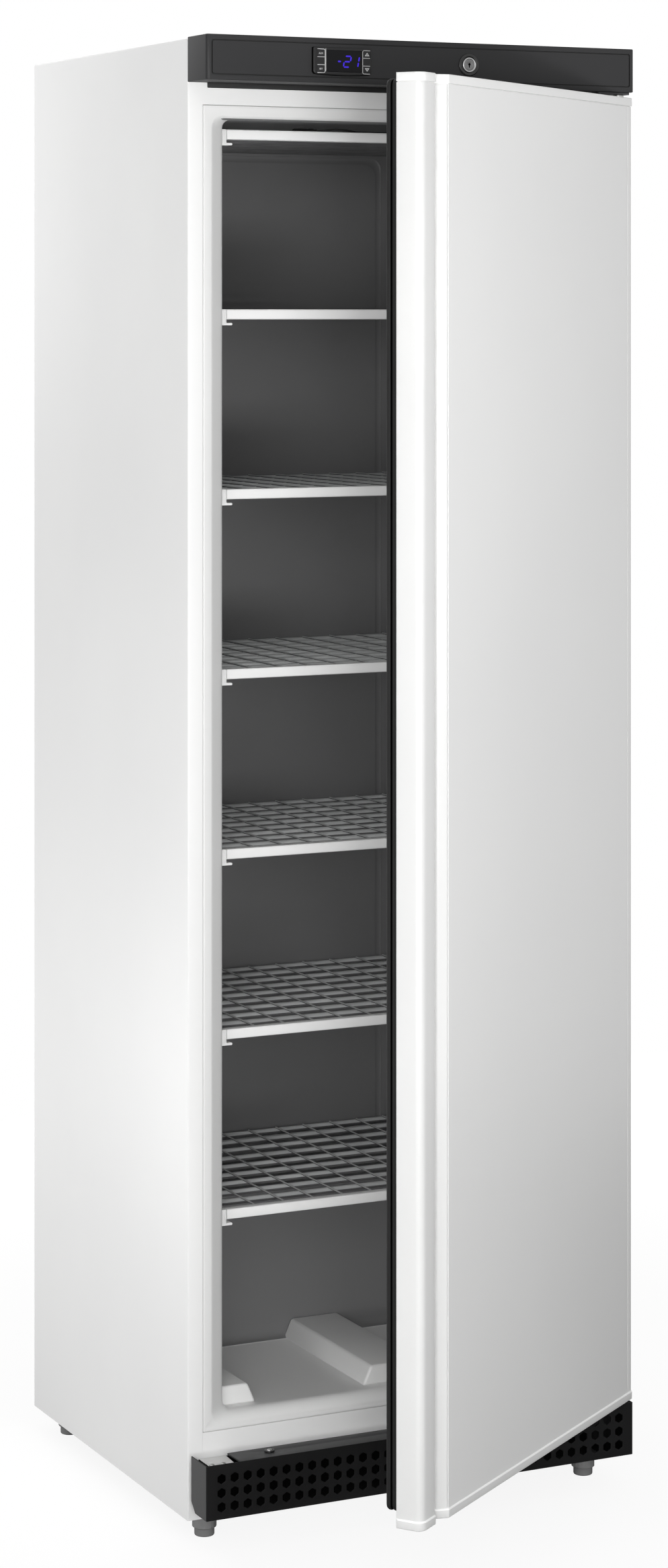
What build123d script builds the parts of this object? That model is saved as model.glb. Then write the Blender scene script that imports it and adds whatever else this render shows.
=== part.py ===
from build123d import *
import os
from math import cos, pi, radians, sin, sqrt, tan

os.makedirs("parts", exist_ok=True)

# Cabinet, in millimetres. Heights are above the floor, depths go back from the front plane.
cabinet_width = 600.0
cabinet_height = 1850.0
shell_depth = 522.0
floor_gap = 26.5
fascia_lip = 2.0
sheet = 1.0
flange_width = 20.0
top_rail = 80.7
shell_top = cabinet_height - fascia_lip
half_width = cabinet_width / 2
flange_top = shell_top - top_rail
flange_half = half_width - flange_width

# Moulded liner and the insulated space
liner_wall = 2.0
liner_flange_bottom = 132.5
side_foam = 56.0
ceiling_foam = 100.0
space_half = half_width - side_foam
space_depth = 450.0
space_floor = 152.0
space_ceiling = cabinet_height - ceiling_foam
side_round = 25.0
ceiling_round = 8.0
sill_round = 17.0
back_corner = 50.0
ceiling_corner = 20.0
step_foam = 60.0
support_height = 24.0
support_width = 50.0
support_middle = 90.0
support_slope = 11.0
support_front = 30.0

# Compressor space at the lower back
niche_depth = 192.0
niche_front = shell_depth - niche_depth
niche_top = 290.0
step_front = niche_front - step_foam
step_top = niche_top + step_foam

# Shelves
shelf_count = 7
top_shelf = space_ceiling - 10.2
lowest_shelf = step_top + 42.8
shelf_pitch = (top_shelf - lowest_shelf) / (shelf_count - 1)
shelf_front = 40.0
trim_height = 12.7
trim_depth = 12.0
trim_wall = 2.0
clip_width = 14.0
trim_half = space_half - clip_width
clip_height = 20.0
clip_depth = 18.0
clip_foot = 3.0
clip_tab = 8.0
ledge_reach = 8.0
ledge_height = 10.0
shelf_tube = 4.0
shelf_runs = 10
shelf_run_half = space_half - 39.0
first_run = shelf_front + trim_depth + shelf_tube
last_run = space_depth - 16.0
shelf_run_pitch = (last_run - first_run) / (shelf_runs - 1)
rail_near = shelf_front + clip_depth
rail_far = space_depth - back_corner
rail_width = 7.0
rail_top = 3.0
rail_bottom = 13.0
bar_width = 4.0
shelf_wires = 10
shelf_wire_pitch = 2 * shelf_run_half / shelf_wires
wire_size = 2.4
wire_weld = 0.8
shelf_tops = [top_shelf - number * shelf_pitch for number in range(shelf_count)]

# Top fascia
fascia_reach = 57.8
fascia_bottom = cabinet_height - 55.6
fascia_wall = 2.5
fascia_groove_inset = 6.5
fascia_groove = 1.0
fascia_corner = 3.0
strip_bottom = fascia_bottom - 6.4
strip_depth = 4.0
strip_left = 26.0 - half_width

# Thermostat in the fascia
control_x = -118.0
control_z = cabinet_height - 28.9
control_width = 79.7
control_height = 34.2
control_border = 4.0
bezel_proud = 3.0
bezel_floor = 1.4
lens_width = 49.2
lens_height = 27.0
lens_x = 2.0
lens_z = 0.4
lens_edge = 1.5
sleeve_depth = 8.0
housing_depth = 42.0
key_width = 9.9
key_height = 8.6
key_proud = 0.7
key_thickness = 2.6
key_gap = 0.3
key_left_x = -30.0
key_right_x = 33.2
key_upper_z = 9.8
key_lower_z = -9.4

# Lock in the fascia
lock_x = 59.7
lock_z = cabinet_height - 27.5
lock_flange_radius = 14.3
lock_flange = 1.6
lock_body_radius = 11.6
lock_body_depth = 21.0
barrel_radius = 9.3
barrel_gap = 0.08
barrel_proud = 0.6
cam_length = 33.0
cam_width = 14.0
cam_thickness = 2.5
nut_across = 30.0
nut_thickness = 4.0

# Door, drawn shut, from the hinge pin: x to the right and y to the back
door_open = 35.6
pin_x = half_width - 15.0
pin_y = -43.5
door_bottom = 112.5
door_top = cabinet_height - 62.5
cap_height = 11.5
cap_overhang = 1.5
door_front = -15.4
door_back = 21.7
door_hinge_edge = 6.3
hinge_profile_width = 12.0
handle_edge = 9.0 - half_width - pin_x
handle_rim = handle_edge + 32.7
door_panel_end = handle_edge + 60.3
lobe_front = -11.9
lobe_radius = 9.7
groove_depth = 20.0
groove_floor = 12.0
groove_slope = 10.0
groove_start = door_panel_end - groove_slope
groove_end = groove_start - groove_floor
profile_wall = 2.0
profile_seam = 0.05
handle_return = 15.0
door_sheet = 1.0
door_liner = 1.5
bulge_depth = 18.0
bulge_half = pin_x - 80.0
bulge_end = 70.0
bulge_taper = 12.0
gasket_front_gap = 0.3
gasket_width = 15.0
gasket_inset = 15.0
gasket_low_inset = 11.5
gasket_high_inset = 5.5
gasket_corner = 9.0
keeper_width = 9.0
keeper_wall = 1.5
keeper_gap = 2.5

# Hinges
pin_radius = 4.0
pin_gap = 0.05
bush_radius = 6.2
pin_reach = 10.0
collar_radius = 7.0
hinge_plate = 3.0
hinge_plate_front = 10.0
hinge_plate_left = pin_x - 35.0
hinge_flange_height = 34.0
lower_plate_top = 101.5
collar_gap = 0.3
spare_left = 14.0 - half_width
spare_width = 36.0
spare_depth = 38.0
spare_screw_back = 33.0
spare_screw_x = (spare_left + 4.0, spare_left + 19.0)

# Lower front
grille_reach = 55.6
grille_half = half_width - 0.3
grille_bottom = 42.2
grille_top = 109.2
grille_sheet = 1.5
grille_side_back = 9.8
grille_side_cut = 12.0
hex_across = 11.0
hex_columns = 33
hex_pitch = 2 * (grille_half - 11.94) / hex_columns
hex_rows = 3
hex_row_pitch = 17.2
hex_top_row = 91.4
cover_top = 103.0
cover_sheet = 2.0
cover_half = space_half + 3.0
cover_screw_x = cover_half - 50.0
cover_screw_back = 16.0
tab_width = 24.0
tab_depth = 30.0
screw_radius = 2.0
screw_gap = 0.15
screw_length = 8.0
screw_head_radius = 3.6
screw_head = 2.2
washer_radius = 6.5
washer_height = 2.0

# Base, feet and the refrigeration set
base_top = 62.0
base_plate = 2.0
rail_inner = space_half
rail_sheet = 2.0
compressor_plate = 42.0
foot_x = half_width - 31.0
foot_front = 20.0
foot_rear = shell_depth - 52.0
foot_sole_radius = 14.0
foot_sole = 10.0
foot_collar_radius = 17.0
foot_clearance = 0.3
foot_stud_radius = 5.0
foot_stud_gap = 0.06
foot_boss_radius = 11.0
foot_stud_top = 52.0
compressor_x = 70.0
compressor_y = shell_depth - 94.0
compressor_radius = 72.0
compressor_height = 148.0
compressor_belt = 70.0
compressor_foot_x = 70.0
compressor_foot_y = 62.0
compressor_foot_sheet = 3.0
mount_radius = 13.0
mount_height = 14.0
relay_width = 60.0
relay_depth = 34.0
relay_height = 64.0
relay_lift = 30.0
relay_gap = 0.1
tray_width = 190.0
tray_depth = 130.0
tray_height = 34.0
tray_wall = 2.0
line_radius = 3.0
line_bend = 8.0
line_clear = 26.0
discharge_height = 100.0
discharge_x = rail_inner - 18.0
suction_height = 170.0
suction_x = discharge_x - 41.0
drier_radius = 10.0
drier_length = 110.0
drier_x = 16.0 - rail_inner
drier_y = shell_depth - 42.0
drier_bottom = 110.0
gland_x = 39.0 - rail_inner
gland_z = 78.0
gland_bore = 4.2
gland_radius = 8.0
gland_gap = 0.05
gland_flange_radius = 12.0
gland_flange = 2.5
gland_length = 16.0
gland_bracket_width = 44.0
gland_bracket_height = 52.0
condenser_reach = 20.0
condenser_tube = 2.5
condenser_half = half_width - 115.0
condenser_bottom = niche_top + 70.0
condenser_top = cabinet_height - 170.0
condenser_runs = 23
condenser_run_pitch = (condenser_top - condenser_bottom) / (condenser_runs - 1)
condenser_weld = 0.5
condenser_wires = 12
condenser_wire_pitch = (2 * condenser_half - 7.0) / (condenser_wires - 1)
condenser_wire = 1.8
condenser_bracket_width = 24.0
condenser_bracket_height = 30.0
condenser_bracket_sheet = 1.5
condenser_bracket_x = condenser_half - 14.0

# Probe on the top shelf
probe_radius = 3.0
probe_length = 28.0
lead_radius = 1.2
lead_rise = 0.3
lead_hump = 4.0
grommet_radius = 5.0
grommet_length = 4.0

# The origin is midway between the open handle and the condenser, on the floor
handle_corner_x = handle_edge + lobe_radius
handle_corner_y = lobe_front + lobe_radius
handle_reach = (
    pin_y
    + handle_corner_x * sin(radians(door_open))
    + handle_corner_y * cos(radians(door_open))
    - lobe_radius
    - cap_overhang
)
rear_reach = shell_depth + condenser_reach
front_y = -(handle_reach + rear_reach) / 2

cabinet = Plane(origin=(0, front_y, 0))
front = Plane(origin=(0, front_y, 0), x_dir=(1, 0, 0), z_dir=(0, -1, 0))
side = Plane(origin=(0, front_y, 0), x_dir=(0, 1, 0), z_dir=(1, 0, 0))
door = Plane(
    origin=(pin_x, front_y + pin_y, 0),
    x_dir=(cos(radians(door_open)), sin(radians(door_open)), 0),
)
door_face = Plane(origin=door.origin, x_dir=door.x_dir, z_dir=-door.y_dir)

# Sheet-steel wrap of the cabinet, with its front flanges
with BuildPart() as outer_shell:
    with BuildSketch(cabinet.offset(floor_gap)):
        Rectangle(cabinet_width, shell_depth, align=(Align.CENTER, Align.MIN))
    extrude(amount=shell_top - floor_gap)
    with BuildSketch(cabinet.offset(floor_gap)):
        with Locations((0, sheet)):
            Rectangle(cabinet_width - 2 * sheet, shell_depth - sheet, align=(Align.CENTER, Align.MIN))
    extrude(amount=shell_top - floor_gap - sheet, mode=Mode.SUBTRACT)
    with BuildSketch(front):
        with Locations((0, floor_gap)):
            Rectangle(2 * flange_half, flange_top - floor_gap, align=(Align.CENTER, Align.MIN))
    extrude(amount=-sheet, mode=Mode.SUBTRACT)
outer_shell.part.label = "outer_shell"
export_step(outer_shell.part, "parts/outer_shell.step")

# Bent back panel: the upright sheet, then the roof and the front of the compressor space
with BuildPart() as back_panel:
    with BuildSketch(side):
        with BuildLine():
            Polyline(
                (niche_front, base_top),
                (niche_front, niche_top),
                (shell_depth - sheet, niche_top),
                (shell_depth - sheet, shell_top - sheet),
                (shell_depth, shell_top - sheet),
                (shell_depth, niche_top - sheet),
                (niche_front + sheet, niche_top - sheet),
                (niche_front + sheet, base_top),
                close=True,
            )
        make_face()
    extrude(amount=half_width - sheet, both=True)
back_panel.part.label = "back_panel"
export_step(back_panel.part, "parts/back_panel.step")


def insulated_space(grow):
    """The space inside the liner, or its outer skin when grown by the wall."""
    half = space_half + grow
    side_arc = side_round - grow
    floor = space_floor - grow
    ceiling = space_ceiling + grow
    sill_arc = sill_round - grow
    ceiling_arc = ceiling_round - grow
    rear = space_depth + grow
    with BuildPart() as space:
        with BuildSketch(cabinet.offset(liner_flange_bottom - sheet)):
            with BuildLine():
                CenterArc((half + side_arc, grow + side_arc), side_arc, 180, 90)
                Line((half + side_arc, grow), (-half - side_arc, grow))
                CenterArc((-half - side_arc, grow + side_arc), side_arc, 270, 90)
                Line((-half, grow + side_arc), (-half, rear - back_corner))
                CenterArc((-half + back_corner, rear - back_corner), back_corner, 90, 90)
                Line((-half + back_corner, rear), (half - back_corner, rear))
                CenterArc((half - back_corner, rear - back_corner), back_corner, 0, 90)
                Line((half, rear - back_corner), (half, grow + side_arc))
            make_face()
        extrude(amount=shell_top - liner_flange_bottom)
        with BuildSketch(side):
            with BuildLine():
                CenterArc((grow + sill_arc, floor - sill_arc), sill_arc, 90, 90)
                Line((grow, floor - sill_arc), (grow, ceiling + ceiling_arc))
                CenterArc((grow + ceiling_arc, ceiling + ceiling_arc), ceiling_arc, 180, 90)
                Line((grow + ceiling_arc, ceiling), (rear - ceiling_corner, ceiling))
                CenterArc((rear - ceiling_corner, ceiling - ceiling_corner), ceiling_corner, 0, 90)
                Polyline(
                    (rear, ceiling - ceiling_corner),
                    (rear, step_top - grow),
                    (step_front + grow, step_top - grow),
                    (step_front + grow, floor),
                    (grow + sill_arc, floor),
                )
            make_face()
        extrude(amount=half_width, both=True, mode=Mode.INTERSECT)
    return space.part


space_void = insulated_space(0)
space_skin = insulated_space(liner_wall)

# White liner: flange, cavity, floor supports and a moulded ledge under each end of each shelf
with BuildPart() as inner_liner:
    add(space_skin)
    with BuildSketch(front):
        with Locations((0, liner_flange_bottom)):
            Rectangle(2 * flange_half, flange_top - liner_flange_bottom, align=(Align.CENTER, Align.MIN))
    extrude(amount=-liner_wall)
    add(space_void, mode=Mode.SUBTRACT)
    foot_line = space_floor - liner_wall / 2
    ridge_line = space_floor + support_height
    wall_line = space_half + liner_wall / 2
    with BuildSketch(front.offset(-support_front)):
        with BuildLine():
            Polyline(
                (wall_line, foot_line),
                (space_half - support_width, foot_line),
                (space_half - support_width + support_slope, ridge_line),
                (wall_line, ridge_line),
                close=True,
            )
        make_face()
        mirror(about=Plane.YZ)
        with BuildLine():
            Polyline(
                (support_middle / 2, foot_line),
                (support_middle / 2 - support_slope, ridge_line),
                (support_slope - support_middle / 2, ridge_line),
                (-support_middle / 2, foot_line),
                close=True,
            )
        make_face()
    extrude(amount=-(step_front - support_front + liner_wall / 2))
    for shelf_top in shelf_tops:
        ledge_top = shelf_top - clip_height
        with BuildSketch(front.offset(-shelf_front)):
            with BuildLine():
                Line((wall_line, ledge_top), (space_half - ledge_reach, ledge_top))
                CenterArc((space_half, ledge_top), ledge_reach, 180, 90)
                Polyline(
                    (space_half, ledge_top - ledge_reach),
                    (wall_line, ledge_top - ledge_reach),
                    (wall_line, ledge_top),
                )
            make_face()
            mirror(about=Plane.YZ)
        extrude(amount=-(rail_far - shelf_front))
        with BuildSketch(front.offset(-rail_near)):
            for across in (-1, 1):
                with Locations((across * (wall_line + space_half - ledge_reach) / 2, ledge_top)):
                    Rectangle(
                        wall_line - space_half + ledge_reach,
                        clip_height - rail_bottom,
                        align=(Align.CENTER, Align.MIN),
                    )
        extrude(amount=-(rail_far - rail_near))
inner_liner.part.label = "inner_liner"
export_step(inner_liner.part, "parts/inner_liner.step")

# Foam between the wrap, the liner and the back panel
with BuildPart() as insulation_foam:
    with BuildSketch(side):
        with BuildLine():
            Polyline(
                (liner_wall, base_top),
                (liner_wall, shell_top - sheet),
                (shell_depth - sheet, shell_top - sheet),
                (shell_depth - sheet, niche_top),
                (niche_front, niche_top),
                (niche_front, base_top),
                close=True,
            )
        make_face()
    extrude(amount=half_width - sheet, both=True)
    add(space_skin, mode=Mode.SUBTRACT)
insulation_foam.part.label = "insulation_foam"
export_step(insulation_foam.part, "parts/insulation_foam.step")

# Lower front panel, with two tabs that carry the grille cover
with BuildPart() as lower_front_panel:
    with BuildSketch(front):
        with Locations((0, floor_gap)):
            Rectangle(2 * flange_half, liner_flange_bottom - floor_gap, align=(Align.CENTER, Align.MIN))
    extrude(amount=-sheet)
    with BuildSketch(cabinet.offset(cover_top - 2 * cover_sheet)):
        with Locations((-cover_screw_x, sheet), (cover_screw_x, sheet)):
            Rectangle(tab_width, tab_depth + sheet, align=(Align.CENTER, Align.MAX))
        with Locations((-cover_screw_x, -cover_screw_back), (cover_screw_x, -cover_screw_back)):
            Circle(screw_radius + screw_gap, mode=Mode.SUBTRACT)
    extrude(amount=cover_sheet)
lower_front_panel.part.label = "lower_front_panel"
export_step(lower_front_panel.part, "parts/lower_front_panel.step")

# Base frame: plate under the foam, side rails, compressor plate, foot bosses and cable bracket
foot_places = [(-foot_x, foot_front), (foot_x, foot_front), (-foot_x, foot_rear), (foot_x, foot_rear)]
rail_outer = half_width - sheet
with BuildPart() as base_frame:
    with BuildSketch(cabinet.offset(base_top - base_plate)):
        with Locations((0, sheet)):
            Rectangle(2 * rail_outer, niche_front - sheet, align=(Align.CENTER, Align.MIN))
    extrude(amount=base_plate)
    with BuildSketch(cabinet.offset(floor_gap)):
        for across in (-1, 1):
            with Locations((across * (rail_outer + rail_inner) / 2, sheet)):
                Rectangle(rail_outer - rail_inner, shell_depth - 2 * sheet, align=(Align.CENTER, Align.MIN))
    extrude(amount=base_top - floor_gap)
    with BuildSketch(cabinet.offset(floor_gap + rail_sheet)):
        for across in (-1, 1):
            with Locations((across * (rail_outer + rail_inner) / 2, sheet + rail_sheet)):
                Rectangle(
                    rail_outer - rail_inner - 2 * rail_sheet,
                    shell_depth - 2 * sheet - 2 * rail_sheet,
                    align=(Align.CENTER, Align.MIN),
                )
    extrude(amount=base_top - floor_gap - 2 * rail_sheet, mode=Mode.SUBTRACT)
    with BuildSketch(cabinet.offset(compressor_plate - base_plate)):
        with Locations((0, niche_front - base_plate)):
            Rectangle(
                2 * rail_inner + rail_sheet,
                shell_depth - sheet - niche_front + base_plate,
                align=(Align.CENTER, Align.MIN),
            )
    extrude(amount=base_plate)
    with BuildSketch(cabinet.offset(compressor_plate - base_plate)):
        with Locations((0, niche_front)):
            Rectangle(2 * rail_inner + rail_sheet, base_plate, align=(Align.CENTER, Align.MAX))
    extrude(amount=base_top - compressor_plate + base_plate / 2)
    with BuildSketch(cabinet.offset(compressor_plate - base_plate)):
        with Locations((gland_x, shell_depth - sheet)):
            Rectangle(gland_bracket_width, base_plate, align=(Align.CENTER, Align.MAX))
    extrude(amount=gland_bracket_height + base_plate)
    with BuildSketch(cabinet.offset(floor_gap)):
        with Locations(*foot_places):
            Circle(foot_boss_radius)
    extrude(amount=foot_stud_top - floor_gap)
    with BuildSketch(cabinet.offset(floor_gap)):
        with Locations(*foot_places):
            Circle(foot_stud_radius + foot_stud_gap)
    extrude(amount=base_top - rail_sheet - floor_gap, mode=Mode.SUBTRACT)
    with BuildSketch(front.offset(-shell_depth)):
        with Locations((gland_x, gland_z)):
            Circle(gland_radius + gland_gap)
    extrude(amount=base_plate + 2 * sheet, mode=Mode.SUBTRACT)
base_frame.part.label = "base_frame"
export_step(base_frame.part, "parts/base_frame.step")

# Four levelling feet: sole, collar and stud
foot_names = ["front_left_foot", "front_right_foot", "rear_left_foot", "rear_right_foot"]
for foot_name, foot_place in zip(foot_names, foot_places):
    with BuildPart() as foot:
        with BuildSketch(cabinet):
            with Locations(foot_place):
                Circle(foot_sole_radius)
        extrude(amount=foot_sole)
        fillet(foot.edges().group_by(Axis.Z)[0], radius=1)
        with BuildSketch(cabinet.offset(foot_sole)):
            with Locations(foot_place):
                Circle(foot_collar_radius)
        extrude(amount=floor_gap - foot_clearance - foot_sole)
        with BuildSketch(cabinet.offset(foot_sole)):
            with Locations(foot_place):
                Circle(foot_stud_radius)
        extrude(amount=foot_stud_top - foot_sole)
    foot.part.label = foot_name
    export_step(foot.part, f"parts/{foot_name}.step")

# Top fascia: an open-backed cover with holes for the thermostat, the lock, its cam and the hinge
cam_reach_back = fascia_reach - lock_body_depth - cam_thickness
cam_tip = cam_length + cam_width / 2
with BuildPart() as top_fascia:
    with BuildSketch(cabinet.offset(fascia_bottom)):
        with Locations((0, 0)):
            Rectangle(cabinet_width, fascia_reach, align=(Align.CENTER, Align.MAX))
        fillet(vertices().group_by(Axis.Y)[0], radius=fascia_corner)
    extrude(amount=cabinet_height - fascia_bottom)
    with BuildSketch(cabinet.offset(fascia_bottom + fascia_wall)):
        Rectangle(
            cabinet_width - 2 * fascia_wall, fascia_reach - fascia_wall, align=(Align.CENTER, Align.MAX)
        )
    extrude(amount=cabinet_height - fascia_bottom - 2 * fascia_wall, mode=Mode.SUBTRACT)
    groove_width = cabinet_width - 2 * fascia_groove_inset
    groove_height = cabinet_height - fascia_bottom - 2 * fascia_groove_inset
    with BuildSketch(front.offset(fascia_reach)):
        with Locations((0, (cabinet_height + fascia_bottom) / 2)):
            Rectangle(groove_width, groove_height)
            Rectangle(
                groove_width - 2 * fascia_groove, groove_height - 2 * fascia_groove, mode=Mode.SUBTRACT
            )
    extrude(amount=-fascia_groove, mode=Mode.SUBTRACT)
    with BuildSketch(front.offset(fascia_reach)):
        with Locations((control_x, control_z)):
            Rectangle(control_width - 2 * control_border, control_height - 2 * lens_edge)
        with Locations((lock_x, lock_z)):
            Circle(lock_body_radius)
    extrude(amount=-fascia_wall, mode=Mode.SUBTRACT)
    cam_slot_left = lock_x - cam_tip
    cam_slot_right = lock_x + cam_width
    with BuildSketch(cabinet.offset(fascia_bottom)):
        with Locations(((cam_slot_left + cam_slot_right) / 2, -cam_reach_back - cam_thickness / 2)):
            Rectangle(cam_slot_right - cam_slot_left, 4 * cam_thickness)
        with Locations(((hinge_plate_left + half_width - fascia_wall) / 2, 0)):
            Rectangle(
                half_width - fascia_wall - hinge_plate_left, hinge_plate, align=(Align.CENTER, Align.MAX)
            )
    extrude(amount=fascia_wall, mode=Mode.SUBTRACT)
    with BuildSketch(cabinet.offset(strip_bottom)):
        with Locations((strip_left, 0)):
            Rectangle(
                hinge_plate_left - strip_left, strip_depth, align=(Align.MIN, Align.MAX)
            )
    extrude(amount=fascia_bottom - strip_bottom)
top_fascia.part.label = "top_fascia"
export_step(top_fascia.part, "parts/top_fascia.step")

# Thermostat: bezel with its sleeve, the box behind it, the window and four keys
key_places = {
    "key_left_upper": (key_left_x, key_upper_z),
    "key_left_lower": (key_left_x, key_lower_z),
    "key_right_upper": (key_right_x, key_upper_z),
    "key_right_lower": (key_right_x, key_lower_z),
}
sleeve_width = control_width - 2 * control_border - 2 * key_gap
sleeve_height = control_height - 2 * lens_edge - 2 * key_gap
control_front = fascia_reach + bezel_proud
with BuildPart() as thermostat_frame:
    with BuildSketch(front.offset(fascia_reach)):
        with Locations((control_x, control_z)):
            Rectangle(control_width, control_height)
    extrude(amount=bezel_proud)
    fillet(thermostat_frame.edges().filter_by(Axis.Y), radius=2)
    with BuildSketch(front.offset(fascia_reach - sleeve_depth)):
        with Locations((control_x, control_z)):
            Rectangle(sleeve_width, sleeve_height)
    extrude(amount=sleeve_depth)
    with BuildSketch(front.offset(control_front)):
        with Locations((control_x + lens_x, control_z + lens_z)):
            Rectangle(lens_width, lens_height)
    extrude(amount=-bezel_floor, mode=Mode.SUBTRACT)
    with BuildSketch(front.offset(control_front)):
        with Locations((control_x + lens_x, control_z + lens_z)):
            Rectangle(lens_width - 2 * lens_edge, lens_height - 2 * lens_edge)
        for key_x, key_z in key_places.values():
            with Locations((control_x + key_x, control_z + key_z)):
                Rectangle(key_width + 2 * key_gap, key_height + 2 * key_gap)
    extrude(amount=-bezel_proud - sleeve_depth, mode=Mode.SUBTRACT)
thermostat_frame.part.label = "thermostat_frame"
export_step(thermostat_frame.part, "parts/thermostat_frame.step")

with BuildPart() as thermostat_lens:
    with BuildSketch(front.offset(control_front - bezel_floor)):
        with Locations((control_x + lens_x, control_z + lens_z)):
            Rectangle(lens_width, lens_height)
    extrude(amount=bezel_floor)
thermostat_lens.part.label = "thermostat_lens"
export_step(thermostat_lens.part, "parts/thermostat_lens.step")

with BuildPart() as thermostat_housing:
    with BuildSketch(front.offset(fascia_reach - sleeve_depth)):
        with Locations((control_x, control_z)):
            Rectangle(sleeve_width, sleeve_height)
    extrude(amount=-housing_depth)
thermostat_housing.part.label = "thermostat_housing"
export_step(thermostat_housing.part, "parts/thermostat_housing.step")

for key_name, (key_x, key_z) in key_places.items():
    with BuildPart() as key:
        with BuildSketch(front.offset(control_front + key_proud)):
            with Locations((control_x + key_x, control_z + key_z)):
                Rectangle(key_width, key_height)
        extrude(amount=-key_thickness)
        fillet(key.edges().filter_by(Axis.Y), radius=0.8)
    key.part.label = key_name
    export_step(key.part, f"parts/{key_name}.step")

# Lock: housing, its nut, the barrel and the cam
with BuildPart() as lock_housing:
    with BuildSketch(front.offset(fascia_reach)):
        with Locations((lock_x, lock_z)):
            Circle(lock_flange_radius)
    extrude(amount=lock_flange)
    with BuildSketch(front.offset(fascia_reach)):
        with Locations((lock_x, lock_z)):
            Circle(lock_body_radius)
    extrude(amount=-lock_body_depth)
    with BuildSketch(front.offset(fascia_reach + lock_flange)):
        with Locations((lock_x, lock_z)):
            Circle(barrel_radius + barrel_gap)
    extrude(amount=-lock_flange - lock_body_depth, mode=Mode.SUBTRACT)
lock_housing.part.label = "lock_housing"
export_step(lock_housing.part, "parts/lock_housing.step")

with BuildPart() as lock_nut:
    with BuildSketch(front.offset(fascia_reach - fascia_wall)):
        with Locations((lock_x, lock_z)):
            RegularPolygon(nut_across / 2, 6, major_radius=False)
            Circle(lock_body_radius, mode=Mode.SUBTRACT)
    extrude(amount=-nut_thickness)
lock_nut.part.label = "lock_nut"
export_step(lock_nut.part, "parts/lock_nut.step")

with BuildPart() as lock_barrel:
    with BuildSketch(front.offset(fascia_reach + lock_flange + barrel_proud)):
        with Locations((lock_x, lock_z)):
            Circle(barrel_radius)
    extrude(amount=-lock_flange - barrel_proud - lock_body_depth)
    with BuildSketch(front.offset(fascia_reach + lock_flange + barrel_proud)):
        with Locations((lock_x, lock_z)):
            Rectangle(2, 8)
    extrude(amount=-4, mode=Mode.SUBTRACT)
lock_barrel.part.label = "lock_barrel"
export_step(lock_barrel.part, "parts/lock_barrel.step")

with BuildPart() as lock_cam:
    with BuildSketch(front.offset(fascia_reach - lock_body_depth)):
        with Locations((lock_x - cam_length / 2, lock_z)):
            SlotCenterToCenter(cam_length, cam_width)
    extrude(amount=-cam_thickness)
lock_cam.part.label = "lock_cam"
export_step(lock_cam.part, "parts/lock_cam.step")


def handle_outline():
    """Edges of the handle side of the door, from the panel's edge round to the back."""
    floor_y = door_front + groove_depth
    Line((door_panel_end, door_front), (groove_start, door_front + groove_slope))
    Line((groove_start, door_front + groove_slope), (groove_start, floor_y))
    Line((groove_start, floor_y), (groove_end, floor_y))
    Line((groove_end, floor_y), (handle_rim, lobe_front))
    Line((handle_rim, lobe_front), (handle_edge + lobe_radius, lobe_front))
    CenterArc((handle_edge + lobe_radius, lobe_front + lobe_radius), lobe_radius, 180, 90)
    Line((handle_edge, lobe_front + lobe_radius), (handle_edge, door_back))


door_low = door_bottom + cap_height
door_high = door_top - cap_height
door_height = door_high - door_low
panel_hinge_end = door_hinge_edge - hinge_profile_width
handle_back = door_panel_end + handle_return
door_middle = (door_low + door_high) / 2

# Door skin: a sheet-steel front between the hinge profile and the handle
with BuildPart() as door_outer_panel:
    with BuildSketch(door.offset(door_low)):
        with Locations(((panel_hinge_end + door_panel_end) / 2, door_front + door_sheet / 2)):
            Rectangle(panel_hinge_end - door_panel_end, door_sheet)
    extrude(amount=door_height)
door_outer_panel.part.label = "door_outer_panel"
export_step(door_outer_panel.part, "parts/door_outer_panel.step")

# Handle, the whole height: three strips that clip together round a finger groove
with BuildPart() as handle_profile:
    with BuildSketch(door.offset(door_low)):
        with BuildLine():
            handle_outline()
            Polyline(
                (handle_edge, door_back),
                (handle_back, door_back),
                (handle_back, door_back - profile_wall),
                (door_panel_end, door_back - profile_wall),
                (door_panel_end, door_front),
            )
        make_face()
        for seam_x in (groove_start, groove_end):
            with Locations((seam_x, door_back)):
                Rectangle(
                    profile_seam, door_back - door_front, align=(Align.MIN, Align.MAX), mode=Mode.SUBTRACT
                )
    extrude(amount=door_height)
handle_profile.part.label = "handle_profile"
export_step(handle_profile.part, "parts/handle_profile.step")

# Profile on the hinge edge
with BuildPart() as hinge_edge_profile:
    with BuildSketch(door.offset(door_low)):
        with Locations(((door_hinge_edge + panel_hinge_end) / 2, (door_front + door_back) / 2)):
            Rectangle(hinge_profile_width, door_back - door_front)
    extrude(amount=door_height)
hinge_edge_profile.part.label = "hinge_edge_profile"
export_step(hinge_edge_profile.part, "parts/hinge_edge_profile.step")

# Inner lining of the door, a sheet with a raised middle
bulge_x = -pin_x


def raised_middle(shrink):
    """The raised middle of the lining, or its hollow when shrunk by the wall."""
    width = 2 * bulge_half - 2 * shrink
    height = door_height - 2 * bulge_end - 2 * shrink
    with BuildPart() as middle:
        with BuildSketch(door_face.offset(shrink - door_back)):
            with Locations((bulge_x, door_middle)):
                Rectangle(width, height)
        with BuildSketch(door_face.offset(shrink - door_back - bulge_depth)):
            with Locations((bulge_x, door_middle)):
                Rectangle(width - 2 * bulge_taper, height - 2 * bulge_taper)
        loft()
    return middle.part


bulge_form = raised_middle(0)
bulge_hollow = raised_middle(door_liner)

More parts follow.
